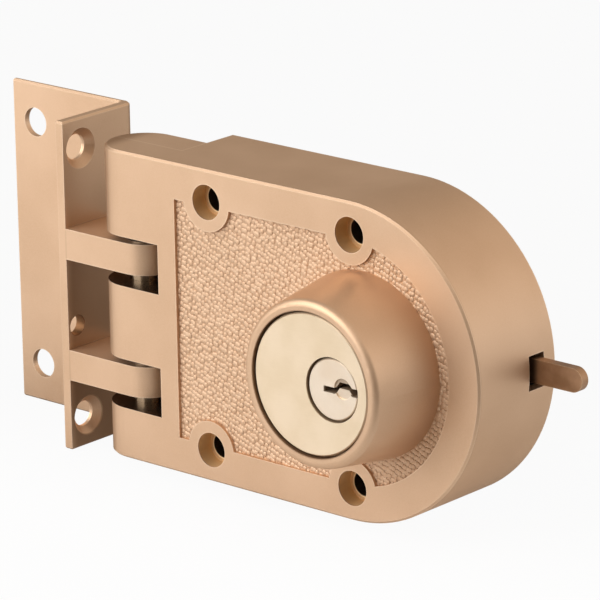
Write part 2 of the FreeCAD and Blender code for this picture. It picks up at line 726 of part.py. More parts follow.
def cut_cavity(body):
    """Hollow for the mechanism, and the rebate in which the back plate lies."""
    cavity = Sketch(body, "cavity", "XZ_Plane", cavity_front)
    cavity.outline(round_ended(cavity_left, cavity_radius, round_x))
    cut(body, cavity, cavity_front)
    rebate = Sketch(body, "plate_rebate", "XZ_Plane", size("plate_thick"))
    rebate.outline(round_ended(door_edge + size("plate_inset"),
                               half_height - size("plate_inset"), round_x))
    cut(body, rebate, size("plate_thick"))


def add_inner_posts(body):
    """Posts for the screws, the cup behind the cylinder, the guide's boss and the detent's rib."""
    posts = Sketch(body, "posts", "XZ_Plane", size("plate_thick"))
    for x, z in mount_points:
        posts.circle(x, z, size("mount_post") / 2)
    for x, z in plate_screw_points:
        posts.circle(x, z, size("plate_post") / 2)
    pad(body, posts, cavity_front - size("plate_thick"))
    cup = Sketch(body, "cylinder_cup", "XZ_Plane", cup_level)
    cup.circle(collar_x, 0, cylinder_bore_radius + size("cup_wall"))
    pad(body, cup, cavity_front - cup_level)

    guide_level = carrier_front + size("guide_fit")
    guide = Sketch(body, "guide_boss", "XZ_Plane", guide_level)
    guide.circle(-size("guide_x"), size("guide_z"),
                 size("guide_shoulder") / 2 + size("guide_boss_wall"))
    pad(body, guide, cavity_front - guide_level)
    guide_tap = Sketch(body, "guide_tap", "XZ_Plane", guide_level + size("guide_thread"))
    guide_tap.circle(-size("guide_x"), size("guide_z"), thread_radius)
    cut(body, guide_tap, size("guide_thread"))

    rib = Sketch(body, "detent_rib", "XZ_Plane", rib_level)
    rib.rectangle(detent_x - size("rib_half"), rib_z - size("rib_length") / 2,
                  detent_x + size("rib_half"), rib_z + size("rib_length") / 2)
    pad(body, rib, cavity_front - rib_level)
    leaf_half = size("detent_thick") / 2 + size("thread_clearance")
    rib_slot = Sketch(body, "detent_rib_slot", "XZ_Plane", cavity_front)
    rib_slot.rectangle(detent_x - leaf_half, rib_z - size("rib_length"),
                       detent_x + leaf_half, rib_z + size("rib_length"))
    cut(body, rib_slot, cavity_front - rib_level)


def cut_cylinder_bore(body):
    """Bore of the collar, and the holes of its seat."""
    bore = Sketch(body, "cylinder_bore", "XZ_Plane", collar_front)
    bore.circle(collar_x, 0, cylinder_bore_radius)
    cut(body, bore, collar_front - seat_level)
    relief = Sketch(body, "lip_relief", "XZ_Plane", collar_front)
    relief.circle(collar_x, 0, cylinder_bore_radius + size("lip_relief"))
    cut(body, relief, size("lip_relief_depth"))
    seat_holes = Sketch(body, "seat_holes", "XZ_Plane", seat_level)
    seat_holes.circle(0, 0, clip_radius + size("clip_room"))
    for z in cylinder_screw_zs:
        seat_holes.circle(collar_x, z, screw_hole_radius)
    cut(body, seat_holes, size("seat_thick"))


def cut_fixing_holes(body):
    """Counterbored fixing holes, and the threads of the back plate's screws."""
    holes = Sketch(body, "fixing_holes", "XZ_Plane", case_front)
    for x, z in mount_points:
        holes.circle(x, z, size("mount_hole") / 2)
    cut(body, holes, case_front)
    sinks = Sketch(body, "fixing_sinks", "XZ_Plane", case_front)
    for x, z in mount_points:
        sinks.circle(x, z, size("mount_sink") / 2)
    cut(body, sinks, size("mount_sink_depth"))
    taps = Sketch(body, "plate_screw_taps", "XZ_Plane", size("plate_thick") + size("plate_thread"))
    for x, z in plate_screw_points:
        taps.circle(x, z, thread_radius)
    cut(body, taps, size("plate_thread"))


def cut_cover_screw_holes(body):
    """Countersunk holes in the side wall, for the screws of the knuckle cover."""
    holes = Sketch(body, "cover_screw_holes", "YZ_Plane", cavity_left)
    for z in cover_screw_zs:
        holes.circle(-cover_screw_level, z, screw_hole_radius)
    cut(body, holes, size("wall"))
    dress(body, "Chamfer", "cover_screw_sinks", screw_sink,
          lambda edge: in_plane(edge, "X", cavity_left) and is_circle(edge, screw_hole_radius))


def cut_lever_slot(body):
    """Slot in the round end for the stop lever's blade."""
    low = pivot_z - blade_half - size("lever_drop")
    middle = -(lever_level + size("lever_thick") / 2)
    slot = Sketch(body, "lever_slot", "YZ_Plane", case_end + size("tool_run"))
    slot.rectangle(middle - size("lever_slot_width") / 2, low,
                   middle + size("lever_slot_width") / 2, low + size("lever_slot_height"))
    cut(body, slot, size("wall") * 2 + size("tool_run"))


def make_knuckle_cover():
    """Rear halves of the three knuckles, joined by a spine behind the gaps."""
    body = new_body("knuckle_cover")
    pad(body, Sketch(body, "nose", "XY_Plane").outline(nose_outline(rear=True)),
        size("case_height"), symmetric=True)
    dress(body, "Chamfer", "end_bevel", size("edge_bevel"),
          lambda edge: is_circle(edge, size("nose_radius")))
    cut_gaps(body, spine_x, pin_level)
    cut_pin_bore(body)
    cut_finger_windows(body, door_edge)
    holes = Sketch(body, "screw_holes", "YZ_Plane", door_edge)
    for z in cover_screw_zs:
        holes.circle(-cover_screw_level, z, thread_radius)
    cut(body, holes, cover_bite)
    return body


def driver_slot(name, head_diameter):
    """A straight screwdriver slot across a head whose face is at the origin."""
    slot = doc.addObject("Part::Box", name + "_slot")
    bind(slot, "Length", head_diameter + size("tool_run"))
    bind(slot, "Width", size("driver_slot_width"))
    bind(slot, "Height", size("driver_slot_depth"))
    bind(slot, "Placement.Base.x", -(head_diameter + size("tool_run")) / 2)
    bind(slot, "Placement.Base.y", -size("driver_slot_width") / 2)
    return slot


def slotted_screw(name, pieces, head_diameter, direction):
    """Join a screw's pieces, cut its driver slot and point it along a direction."""
    whole = doc.addObject("Part::MultiFuse", name + "_whole")
    whole.Shapes = pieces
    screw = doc.addObject("Part::Cut", name)
    screw.Base = whole
    screw.Tool = driver_slot(name, head_diameter)
    point_along(screw, direction)
    return screw


def countersunk_screw(name, length, direction):
    """A screw whose head's flat face lies at the origin."""
    cone = doc.addObject("Part::Cone", name + "_head")
    bind(cone, "Radius1", size("screw_head") / 2)
    bind(cone, "Radius2", screw_radius)
    bind(cone, "Height", screw_sink)
    shank = cylinder(name + "_shank", screw_radius, length)
    return slotted_screw(name, [cone, shank], size("screw_head"), direction)


def make_knuckle_cover_screws():
    screws = []
    for count, z in enumerate(cover_screw_zs, start=1):
        screw = countersunk_screw(f"cover_screw_{count}",
                                  size("wall") + cover_bite - size("screw_end_gap"), (-1, 0, 0))
        screws.append(place(screw, cavity_left, cover_screw_level, z))
    return group("knuckle_cover_screws", screws)


def make_back_plate():
    """Flat steel plate let into the back of the case."""
    body = new_body("back_plate")
    plate = Sketch(body, "plate", "XZ_Plane")
    inset = size("plate_inset") + size("plate_play")
    plate.outline(round_ended(door_edge + inset, half_height - inset, round_x))
    pad(body, plate, size("plate_thick"))
    holes = Sketch(body, "holes", "XZ_Plane", size("plate_thick"))
    for x, z in mount_points:
        holes.circle(x, z, size("mount_hole") / 2)
    for x, z in plate_screw_points:
        holes.circle(x, z, screw_hole_radius)
    holes.circle(0, 0, bush_radius + size("bush_press"))
    holes.circle(pivot_x, pivot_z, rivet_radius)
    cut(body, holes, size("plate_thick"))
    dress(body, "Chamfer", "screw_sinks", screw_sink,
          lambda edge: in_plane(edge, "Y", 0) and is_circle(edge, screw_hole_radius))
    return body


def make_back_plate_screws():
    screws = []
    length = size("plate_thick") + size("plate_thread") - size("screw_end_gap")
    for count, (x, z) in enumerate(plate_screw_points, start=1):
        screw = countersunk_screw(f"plate_screw_{count}", length, (0, -1, 0))
        screws.append(place(screw, x, 0, z))
    return group("back_plate_screws", screws)


def make_cylinder_body():
    """Brass cylinder with an offset plug bore and a row of tumbler chambers."""
    body = new_body("cylinder_body")
    barrel = Sketch(body, "barrel", "XZ_Plane", seat_level)
    barrel.circle(collar_x, 0, cylinder_radius)
    pad(body, barrel, face_level - seat_level)
    dress(body, "Chamfer", "face_edge", size("cylinder_bevel"),
          lambda edge: in_plane(edge, "Y", -face_level) and is_circle(edge, cylinder_radius))
    bore = Sketch(body, "plug_bore", "XZ_Plane", face_level)
    bore.circle(0, 0, plug_bore_radius)
    cut(body, bore, face_level - seat_level)
    relief = Sketch(body, "plug_relief", "XZ_Plane", face_level)
    relief.circle(0, 0, plug_bore_radius + size("plug_relief"))
    cut(body, relief, size("plug_relief_depth"))
    chambers = Sketch(body, "chambers", "YZ_Plane", 0)
    for level in tumbler_levels:
        chambers.circle(-level, 0, tumbler_hole_radius)
    cut(body, chambers, chamber_end + size("tool_run"))
    taps = Sketch(body, "screw_taps", "XZ_Plane", seat_level + size("cylinder_thread"))
    for z in cylinder_screw_zs:
        taps.circle(collar_x, z, thread_radius)
    cut(body, taps, size("cylinder_thread"))
    return body


def tumblers(name, near_end, far_end, radius, bore=None):
    """A row of small round pieces lying along -X between two distances from the plug axis."""
    items = []
    for count, level in enumerate(tumbler_levels, start=1):
        item = cylinder(f"{name}_{count}", radius, far_end - near_end)
        if bore is not None:
            tube = doc.addObject("Part::Cut", f"{name}_{count}_tube")
            tube.Base = item
            tube.Tool = cylinder(f"{name}_{count}_hole", bore, far_end - near_end)
            item = tube
        point_along(item, (-1, 0, 0))
        items.append(place(item, -near_end, level, 0))
    return group(name, items)


def make_driver_pins():
    return tumblers("driver_pins", driver_start, driver_end, tumbler_radius)


def make_pin_springs():
    outer = tumbler_radius - size("spring_play")
    return tumblers("pin_springs", driver_end, cap_start, outer, outer - size("spring_wall"))


def make_chamber_caps():
    return tumblers("chamber_caps", cap_start, cap_end, tumbler_radius + size("cap_press"))


def make_key_pins():
    """Key pins with coned ends, standing at the shear line as with the key in."""
    pins = []
    start = plug_radius - size("key_pin_sunk")
    for count, (level, steps) in enumerate(zip(tumbler_levels, KEY_CUTS), start=1):
        shank_length = size("key_pin_longest") - size("key_cut_step") * steps - size("key_pin_cone")
        tip = doc.addObject("Part::Cone", f"key_pin_{count}_tip")
        bind(tip, "Radius1", tumbler_radius)
        bind(tip, "Radius2", size("key_pin_point") / 2)
        bind(tip, "Height", size("key_pin_cone"))
        bind(tip, "Placement.Base.z", shank_length)
        pin = doc.addObject("Part::Fuse", f"key_pin_{count}")
        pin.Base = cylinder(f"key_pin_{count}_shank", tumbler_radius, shank_length)
        pin.Tool = tip
        point_along(pin, (1, 0, 0))
        pins.append(place(pin, -start, level, 0))
    return group("key_pins", pins)


def make_cylinder_screws():
    """Screws that draw the key cylinder onto its seat from behind."""
    screws = []
    head, thick = size("cylinder_screw_head"), size("cylinder_screw_head_thick")
    length = thick + size("seat_thick") + size("cylinder_thread") - size("screw_end_gap")
    for count, z in enumerate(cylinder_screw_zs, start=1):
        name = f"cylinder_screw_{count}"
        pieces = [cylinder(name + "_head", head / 2, thick),
                  cylinder(name + "_shank", screw_radius, length)]
        screw = slotted_screw(name, pieces, head, (0, -1, 0))
        screws.append(place(screw, collar_x, cup_level - thick, z))
    return group("cylinder_screws", screws)


def keyway_outline():
    """Section of the keyway: a slot with a step up and a wide open end."""
    middle = -size("key_slot_drop")
    half, mouth = size("key_slot") / 2, size("key_mouth") / 2
    mouth_middle = middle + size("key_mouth_rise")
    start, slope, rise = size("key_slot_start"), size("ward_slope"), size("ward_rise")
    first, second = size("ward_first"), size("ward_second")
    rim = plug_radius + size("tool_run")
    return [
        (-start, middle - half),
        (first, middle - half),
        (first + slope, middle - half + rise),
        (second, middle - half + rise),
        (second + slope, mouth_middle - mouth),
        (rim, mouth_middle - mouth),
        (rim, mouth_middle + mouth),
        (second + slope, mouth_middle + mouth),
        (second + slope / 2, middle + half + rise),
        (first + slope, middle + half + rise),
        (first, middle + half),
        (-start, middle + half),
    ]


def make_plug():
    """Key plug with its keyway, dimple, tumbler holes and rear journal."""
    body = new_body("plug")
    barrel = Sketch(body, "barrel", "XZ_Plane", seat_level)
    barrel.circle(0, 0, plug_radius)
    pad(body, barrel, plug_face - seat_level)
    dress(body, "Chamfer", "face_edge", size("plug_bevel"),
          lambda edge: in_plane(edge, "Y", -plug_face))
    journal = Sketch(body, "journal", "XZ_Plane", tail_head_level)
    journal.circle(0, 0, journal_radius)
    pad(body, journal, size("journal_length"))
    groove = Sketch(body, "clip_groove", "XZ_Plane", clip_seat)
    groove.circle(0, 0, plug_radius)
    groove.circle(0, 0, journal_radius - size("clip_groove"))
    cut(body, groove, size("clip_thick"))
    dimple = Sketch(body, "dimple", "XZ_Plane", plug_face)
    dimple.circle(size("dimple_x"), size("dimple_z"), size("dimple_diameter") / 2)
    cut(body, dimple, size("dimple_depth"))
    keyway = Sketch(body, "keyway", "XZ_Plane", plug_face)
    keyway.outline(keyway_outline())
    cut(body, keyway, plug_face - seat_level - size("keyway_end"))
    holes = Sketch(body, "tumbler_holes", "YZ_Plane", 0)
    for level in tumbler_levels:
        holes.circle(-level, 0, tumbler_hole_radius)
    cut(body, holes, plug_radius + size("tool_run"))
    return body


def make_plug_clip():
    """Spring clip in the journal's groove, open on one side."""
    body = new_body("plug_clip")
    ring = Sketch(body, "ring", "XZ_Plane", clip_seat - size("clip_thick"))
    ring.circle(0, 0, clip_radius)
    ring.circle(0, 0, journal_radius - size("clip_groove") + size("clip_fit"))
    pad(body, ring, size("clip_thick"))
    mouth = Sketch(body, "mouth", "XZ_Plane", clip_seat)
    mouth.rectangle(-size("clip_mouth") / 2, -clip_radius - size("tool_run"),
                    size("clip_mouth") / 2, 0)
    cut(body, mouth, size("clip_thick"))
    return body


def make_tailpiece():
    """Flat bar with a round head that stands on the plug's journal."""
    head = cylinder("tail_head", journal_radius - size("tail_head_play"), size("tail_head_thick"))
    point_along(head, (0, -1, 0))
    place(head, 0, tail_head_level - size("tail_head_thick"), 0)
    bar = doc.addObject("Part::Box", "tail_bar")
    bind(bar, "Length", size("tail_thick"))
    bind(bar, "Width", tail_head_level - tail_end_level)
    bind(bar, "Height", size("tail_width"))
    place(bar, -size("tail_thick") / 2, tail_head_level, -size("tail_width") / 2)
    tail = doc.addObject("Part::Fuse", "tailpiece")
    tail.Base = head
    tail.Tool = bar
    return group("tailpiece", [tail])


def make_tailpiece_cap():
    """Threaded cap that holds the tailpiece's head on the journal."""
    body = new_body("tailpiece_cap")
    rim = tail_head_level + size("tail_cap_thread")
    shell = Sketch(body, "shell", "XZ_Plane", tail_cap_level)
    shell.circle(0, 0, journal_radius + size("tail_cap_wall"))
    pad(body, shell, rim - tail_cap_level)
    inside = Sketch(body, "inside", "XZ_Plane", rim)
    inside.circle(0, 0, journal_radius + size("tail_cap_fit"))
    cut(body, inside, size("tail_head_thick") + size("tail_cap_thread"))
    mouth = Sketch(body, "mouth", "XZ_Plane", rim)
    mouth.circle(0, 0, tail_sweep)
    cut(body, mouth, rim - tail_cap_level)
    return body


def bow_tie():
    """Slot of the hub: a tailpiece drives one face and has a quarter turn free on the other side."""
    reach = tail_sweep
    half = size("tail_thick") / 2 + size("tail_face_play")
    return [
        (half, -half),
        (half, reach),
        (-half, reach),
        (-reach, half, reach, 1),
        (-reach, -half),
        (-half, -half),
        (-half, -reach),
        (half, -reach),
        (reach, -half, reach, 1),
        (reach, half),
    ]


def make_hub():
    """Cam that both tailpieces drive: journal, notched disc and crank arm."""
    body = new_body("hub")
    profile = Sketch(body, "turned", "XY_Plane")
    journal = size("hub_journal") / 2
    profile.outline([
        (0, -size("hub_setback")),
        (0, -disc_front),
        (disc_radius, -disc_front),
        (disc_radius, -disc_level),
        (shoulder_radius, -disc_level),
        (shoulder_radius, -shoulder_level),
        (journal, -shoulder_level),
        (journal, -size("hub_setback")),
    ])
    revolve(body, profile)
    arm = Sketch(body, "crank_arm", "XZ_Plane", disc_front)
    eye = size("crank_pin") / 2 + size("crank_eye_wall")
    arm.outline([
        (-crank_offset - eye, -crank_offset),
        (-crank_offset, -crank_offset - eye, eye, 1),
        (shoulder_radius, 0),
        (0, shoulder_radius, shoulder_radius, 1),
    ])
    pad(body, arm, size("crank_arm"))
    notches = Sketch(body, "notches", "XZ_Plane", disc_front)
    low = -size("notch_shift") - size("notch_width") / 2
    high = size("notch_width") / 2 - size("notch_shift")
    floor, rim = disc_radius - size("notch_depth"), disc_radius + size("tool_run")
    notches.rectangle(low, -rim, high, -floor)
    notches.rectangle(floor, low, rim, high)
    cut(body, notches, disc_front - disc_level)
    slot = Sketch(body, "tail_slot", "XZ_Plane", crank_level)
    slot.outline(bow_tie())
    cut(body, slot, crank_level)
    return body


def make_crank_pin():
    """Pin riveted in the crank arm, working in the carrier's slot."""
    pin = cylinder("crank_pin", size("crank_pin") / 2,
                   size("carrier_plate") + size("slide_play") * 2)
    point_along(pin, (0, -1, 0))
    place(pin, -crank_offset, crank_level, -crank_offset)
    return group("crank_pin", [pin])


def make_hub_bush():
    """Flanged bush pressed into the back plate, the hub's bearing."""
    body = new_body("hub_bush")
    profile = Sketch(body, "turned", "XY_Plane")
    bore = size("hub_journal") / 2 + size("hub_fit")
    flange = bush_radius + size("bush_flange")
    flange_front = size("plate_thick") + size("bush_flange_thick")
    profile.outline([
        (bore, 0),
        (bore, -bush_front),
        (bush_radius, -bush_front),
        (bush_radius, -flange_front),
        (flange, -flange_front),
        (flange, -size("plate_thick")),
        (bush_radius, -size("plate_thick")),
        (bush_radius, 0),
    ])
    revolve(body, profile)
    return body


def make_bolt_carrier():
    """Sliding carrier: an upright with two forked fingers and a plate with crank and guide slots."""
    body = new_body("bolt_carrier")
    upright = Sketch(body, "upright", "XZ_Plane", carrier_level)
    upright.rectangle(bar_left, finger_bottoms[1], bar_right, carrier_top)
    pad(body, upright, finger_front - carrier_level)
    fingers = Sketch(body, "fingers", "XZ_Plane", finger_rear)
    for bottom in finger_bottoms:
        fingers.rectangle(pin_x - size("finger_horn"), bottom, bar_left,
                          bottom + size("finger_thick"))
    pad(body, fingers, size("finger_width"))
    forks = Sketch(body, "forks", "XY_Plane", carrier_top)
    neck = size("neck_diameter") / 2 + size("neck_fit")
    fork_end = pin_x - size("finger_horn") - size("tool_run")
    forks.outline([
        (fork_end, -pin_level - neck),
        (pin_x, -pin_level - neck),
        (pin_x + neck, -pin_level, neck, 1),
        (pin_x, -pin_level + neck, neck, 1),
        (fork_end, -pin_level + neck),
    ])
    cut(body, forks, carrier_top - finger_bottoms[1])
    add_carrier_plate(body)
    detents = Sketch(body, "detent_notches", "XZ_Plane", finger_front)
    rim, floor = bar_right + size("tool_run"), bar_right - size("detent_notch")
    pitch, flat = size("detent_pitch"), size("detent_flat")
    for z in (detent_z, detent_z - travel):
        detents.outline([
            (rim, z - pitch),
            (rim, z + pitch),
            (bar_right, z + pitch),
            (floor, z + flat),
            (floor, z - flat),
            (bar_right, z - pitch),
        ])
    cut(body, detents, finger_front - carrier_front)
    return body


def add_carrier_plate(body):
    """The carrier's plate, with a slot across for the crank pin and one upright for the guide."""
    plate = Sketch(body, "plate", "XZ_Plane", carrier_level)
    band_top = size("carrier_band") / 2 - crank_offset
    band_bottom = -size("carrier_band") / 2 - crank_offset
    guide_x = -size("guide_x")
    head_left = guide_x - size("carrier_head") / 2
    head_right = guide_x + size("carrier_head") / 2
    guide_top = size("guide_z") + guide_half
    guide_bottom = size("guide_z") - travel - guide_half
    plate.outline([
        (bar_left, band_bottom),
        (head_left, band_bottom),
        (head_left, guide_bottom - size("carrier_land")),
        (head_right, guide_bottom - size("carrier_land")),
        (head_right, band_bottom),
        (carrier_tip, band_bottom),
        (carrier_tip, band_top),
        (head_right, band_top),
        (head_right, guide_top + size("carrier_land")),
        (head_left, guide_top + size("carrier_land")),
        (head_left, band_top),
        (bar_left, band_top),
    ])
    pad(body, plate, size("carrier_plate"))
    slots = Sketch(body, "slots", "XZ_Plane", carrier_front)
    crank_half = size("crank_pin") / 2 + size("crank_play")
    crank_reach = root(crank_offset * crank_offset + crank_offset * crank_offset) + crank_half
    slots.rectangle(-crank_reach, -crank_offset - crank_half,
                    carrier_tip + size("tool_run"), crank_half - crank_offset)
    slots.outline([
        (guide_x - guide_half, guide_bottom + guide_half),
        (guide_x, guide_bottom, guide_half, 1),
        (guide_x + guide_half, guide_bottom + guide_half, guide_half, 1),
        (guide_x + guide_half, guide_top - guide_half),
        (guide_x, guide_top, guide_half, 1),
        (guide_x - guide_half, guide_top - guide_half, guide_half, 1),
    ])
    cut(body, slots, size("carrier_plate"))


def make_locking_pin(name, which):
    """Steel pin with a neck that its carrier finger holds."""
    body = new_body(name)
    profile = Sketch(body, "turned", "XZ_Plane", pin_level, centre_x=pin_x)
    radius = size("pin_diameter") / 2
    neck = size("neck_diameter") / 2
    tip = pin_tips[which]
    low = finger_bottoms[which] - size("neck_fit")
    high = finger_bottoms[which] + size("finger_thick") + size("neck_fit")
    top = finger_bottoms[which] + size("finger_thick") + size("pin_head")
    profile.outline([
        (0, tip),
        (radius - size("pin_point"), tip),
        (radius, tip + size("pin_point")),
        (radius, low),
        (neck, low),
        (neck, high),
        (radius, high),
        (radius, top),
        (0, top),
    ])
    revolve(body, profile)
    return body


def make_guide_screw():
    """Shoulder screw on which the carrier plate slides."""
    thick = size("guide_head_thick")
    shoulder = size("slide_play") + size("carrier_plate") + size("guide_fit")
    length = thick + shoulder + size("guide_thread") - size("screw_end_gap")
    pieces = [cylinder("guide_head", size("guide_head") / 2, thick),
              cylinder("guide_shoulder", size("guide_shoulder") / 2, thick + shoulder),
              cylinder("guide_shank", screw_radius, length)]
    screw = slotted_screw("guide_shoulder_screw", pieces, size("guide_head"), (0, -1, 0))
    place(screw, -size("guide_x"), carrier_level - size("slide_play") - thick, size("guide_z"))
    return group("guide_screw", [screw])


def make_detent_spring():
    """Leaf spring pressed into the case's slotted rib, its hump over the carrier's notches."""
    body = new_body("detent_spring")
    leaf = Sketch(body, "leaf", "XZ_Plane", rib_level + size("slide_play"))
    thick, pitch = size("detent_thick"), size("detent_pitch")
    left = detent_x - thick / 2
    hump = bar_right + size("detent_gap")
    bottom = rib_z - size("rib_length") / 2
    top = detent_z + size("detent_end")
    leaf.outline([
        (left, bottom),
        (left + thick, bottom),
        (left + thick, detent_z - pitch),
        (hump + thick, detent_z),
        (left + thick, detent_z + pitch),
        (left + thick, top),
        (left, top),
        (left, detent_z + pitch + thick / 2),
        (hump, detent_z),
        (left, detent_z - pitch - thick / 2),
    ])
    pad(body, leaf, size("detent_width"))
    return body


def make_stop_lever():
    """Stop lever: blade through the round end, pivot eye, and an arm with a nose under the hub."""
    body = new_body("stop_lever")
    lever = Sketch(body, "lever", "XZ_Plane", lever_level)
    eye = blade_half + size("lever_eye_wall")
    eye_reach = root(eye * eye - blade_half * blade_half)
    nose = size("lever_nose") / 2
    nose_tip = -disc_radius - size("lever_nose_gap")
    arm_top = -disc_radius - size("lever_arm_gap")
    arm_bottom = arm_top - size("lever_arm")
    lever.outline([
        (blade_tip - blade_half, pivot_z - blade_half),
        (blade_tip, pivot_z, blade_half, 1),
        (blade_tip - blade_half, pivot_z + blade_half, blade_half, 1),
        (pivot_x + eye_reach, pivot_z + blade_half),
        (pivot_x - eye, pivot_z, eye, 1),
        (pivot_x - size("lever_arm_inner"), arm_top),
        (nose, arm_top),
        (nose, nose_tip),
        (-nose, nose_tip),
        (-nose, arm_bottom),
        (pivot_x - size("lever_arm_outer"), arm_bottom),
        (pivot_x + blade_half, pivot_z - blade_half),
    ])
    pad(body, lever, size("lever_thick"))
    hole = Sketch(body, "pivot_hole", "XZ_Plane", lever_front)
    hole.circle(pivot_x, pivot_z, rivet_radius + size("rivet_fit"))
    cut(body, hole, size("lever_thick"))
    return body


def make_lever_pivot():
    """Shouldered stud riveted through the back plate."""
    body = new_body("lever_pivot")
    profile = Sketch(body, "turned", "XY_Plane", pivot_z, centre_x=pivot_x)
    rivet = rivet_radius - size("rivet_press")
    shoulder = rivet_radius + size("stud_shoulder")
    shoulder_front = lever_level - size("stud_end_play")
    head = rivet_radius + size("stud_head")
    head_level = lever_front + size("washer_thick") + size("stud_end_play") * 2
    profile.outline([
        (0, 0),
        (rivet, 0),
        (rivet, -size("plate_thick")),
        (shoulder, -size("plate_thick")),
        (shoulder, -shoulder_front),
        (rivet_radius, -shoulder_front),
        (rivet_radius, -head_level),
        (head, -head_level),
        (head, -head_level - size("stud_head_thick")),
        (0, -head_level - size("stud_head_thick")),
    ])
    revolve(body, profile)
    return body


def make_lever_washer():
    """Friction washer between the stop lever and the stud's head."""
    body = new_body("lever_washer")
    bore = rivet_radius + size("screw_clearance")
    ring = Sketch(body, "ring", "XZ_Plane", lever_front + size("stud_end_play"))
    ring.circle(pivot_x, pivot_z, bore + size("washer_wall"))
    ring.circle(pivot_x, pivot_z, bore)
    pad(body, ring, size("washer_thick"))
    return body


def is_strike_edge(edge):
    """The angle's end edges, the frame leg's free edge and the side leg's outer edge."""
    box = edge.BoundBox
    at_end = near(box.ZMin, box.ZMax) and near(abs(box.ZMax), strike_half)
    outer = in_plane(edge, "X", side_rear_face) and in_plane(edge, "Y", -arm_front)
    return at_end or in_plane(edge, "X", leg_end) or outer


def make_angle_strike():
    """Cast angle strike: frame leg, side leg and two ringed arms that enter the case's gaps."""
    body = new_body("angle_strike")
    thick, leg_thick = size("strike_thick"), size("strike_leg_thick")
    bend, fillet = size("strike_bend"), size("strike_fillet")
    angle = Sketch(body, "angle", "XY_Plane")
    angle.outline([
        (leg_end, 0),
        (leg_end, -leg_thick),
        (side_rear_face - fillet, -leg_thick),
        (side_rear_face, -leg_thick - fillet, fillet, -1),
        (side_rear_face, -arm_front),
        (side_face, -arm_front),
        (side_face, -bend),
        (side_face - bend, 0, bend, 1),
    ])
    pad(body, angle, strike_half * 2, symmetric=True)
    dress(body, "Chamfer", "edge_bevel", size("strike_bevel"), is_strike_edge)
    middle = side_face - thick / 2
    for label, z in zip(("upper", "lower"), arm_zs):
        arm = Sketch(body, f"{label}_arm", "XY_Plane", z)
        arm.outline([
            (middle, -arm_front),
            (pin_x, -arm_front),
            (pin_x + ring_radius, -pin_level, ring_radius, 1),
            (pin_x, -arm_rear, ring_radius, 1),
            (middle, size("arm_spread") - arm_rear),
        ])
        pad(body, arm, size("arm_height"), symmetric=True)
    rings = Sketch(body, "ring_bores", "XY_Plane")
    rings.circle(pin_x, -pin_level, ring_bore_radius)
    cut(body, rings, strike_half * 2, symmetric=True)
    leg_holes = Sketch(body, "leg_holes", "XZ_Plane", leg_thick)
    leg_hole_z = strike_half - size("leg_hole_end")
    for z in (leg_hole_z, -leg_hole_z):
        leg_holes.circle(leg_end + size("leg_hole_inset"), z, size("leg_hole") / 2)
    cut(body, leg_holes, leg_thick)
    side_holes = Sketch(body, "side_holes", "YZ_Plane", side_face)
    side_hole_z = strike_half - size("side_hole_end")
    for z in (side_hole_z, -side_hole_z):
        side_holes.circle(size("side_hole_inset") - arm_front, z, size("side_hole") / 2)
    side_holes.circle(size("nail_hole_inset") - arm_front,
                      arm_zs[1] + size("nail_hole_above_arm"), size("nail_hole") / 2)
    cut(body, side_holes, thick)
    dress(body, "Chamfer", "side_sinks", size("side_sink"),
          lambda edge: in_plane(edge, "X", side_face) and is_circle(edge, size("side_hole") / 2))
    return body


pieces = [
    make_case_shell(),
    make_knuckle_cover(),
    make_knuckle_cover_screws(),
    make_back_plate(),
    make_back_plate_screws(),
    make_cylinder_body(),
    make_driver_pins(),
    make_pin_springs(),
    make_chamber_caps(),
    make_cylinder_screws(),
    make_plug(),
    make_key_pins(),
    make_plug_clip(),
    make_tailpiece(),
    make_tailpiece_cap(),
    make_hub(),
    make_crank_pin(),
    make_hub_bush(),
    make_bolt_carrier(),
    make_locking_pin("upper_locking_pin", 0),
    make_locking_pin("lower_locking_pin", 1),
    make_guide_screw(),
    make_detent_spring(),
    make_stop_lever(),
    make_lever_pivot(),
    make_lever_washer(),
    make_angle_strike(),
]

doc.recompute()
failed = [item.Name for item in doc.Objects if {"Invalid", "Error"} & set(item.State)]
if failed:
    raise RuntimeError(f"these objects failed: {failed}")
for piece in pieces:
    if piece.Shape.isNull() or not piece.Shape.isValid():
        raise RuntimeError(f"{piece.Label} has no valid shape")

os.makedirs("parts", exist_ok=True)
for piece in pieces:
    piece.Shape.exportStep(f"parts/{piece.Label}.step")
    print(piece.Label, len(piece.Shape.Solids), round(piece.Shape.Volume, 1))
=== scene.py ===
import json
import math
import random

import bpy
from mathutils import Matrix, Vector


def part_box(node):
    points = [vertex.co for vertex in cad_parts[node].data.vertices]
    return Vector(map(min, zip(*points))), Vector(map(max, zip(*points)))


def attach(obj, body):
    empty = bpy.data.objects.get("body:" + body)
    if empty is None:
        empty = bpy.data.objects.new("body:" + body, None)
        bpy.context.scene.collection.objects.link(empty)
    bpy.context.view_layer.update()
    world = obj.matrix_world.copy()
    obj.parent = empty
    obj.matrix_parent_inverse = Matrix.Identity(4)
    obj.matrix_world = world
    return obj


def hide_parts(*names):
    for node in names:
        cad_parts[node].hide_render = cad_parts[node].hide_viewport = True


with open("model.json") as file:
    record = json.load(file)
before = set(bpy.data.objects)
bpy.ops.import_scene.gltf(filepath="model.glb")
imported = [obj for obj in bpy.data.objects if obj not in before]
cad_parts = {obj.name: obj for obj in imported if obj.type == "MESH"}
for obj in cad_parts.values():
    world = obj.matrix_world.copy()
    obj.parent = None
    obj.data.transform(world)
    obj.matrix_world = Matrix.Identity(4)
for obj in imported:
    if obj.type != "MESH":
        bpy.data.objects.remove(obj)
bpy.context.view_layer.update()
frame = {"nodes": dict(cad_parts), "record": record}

nodes = frame["nodes"]
MM = 0.001

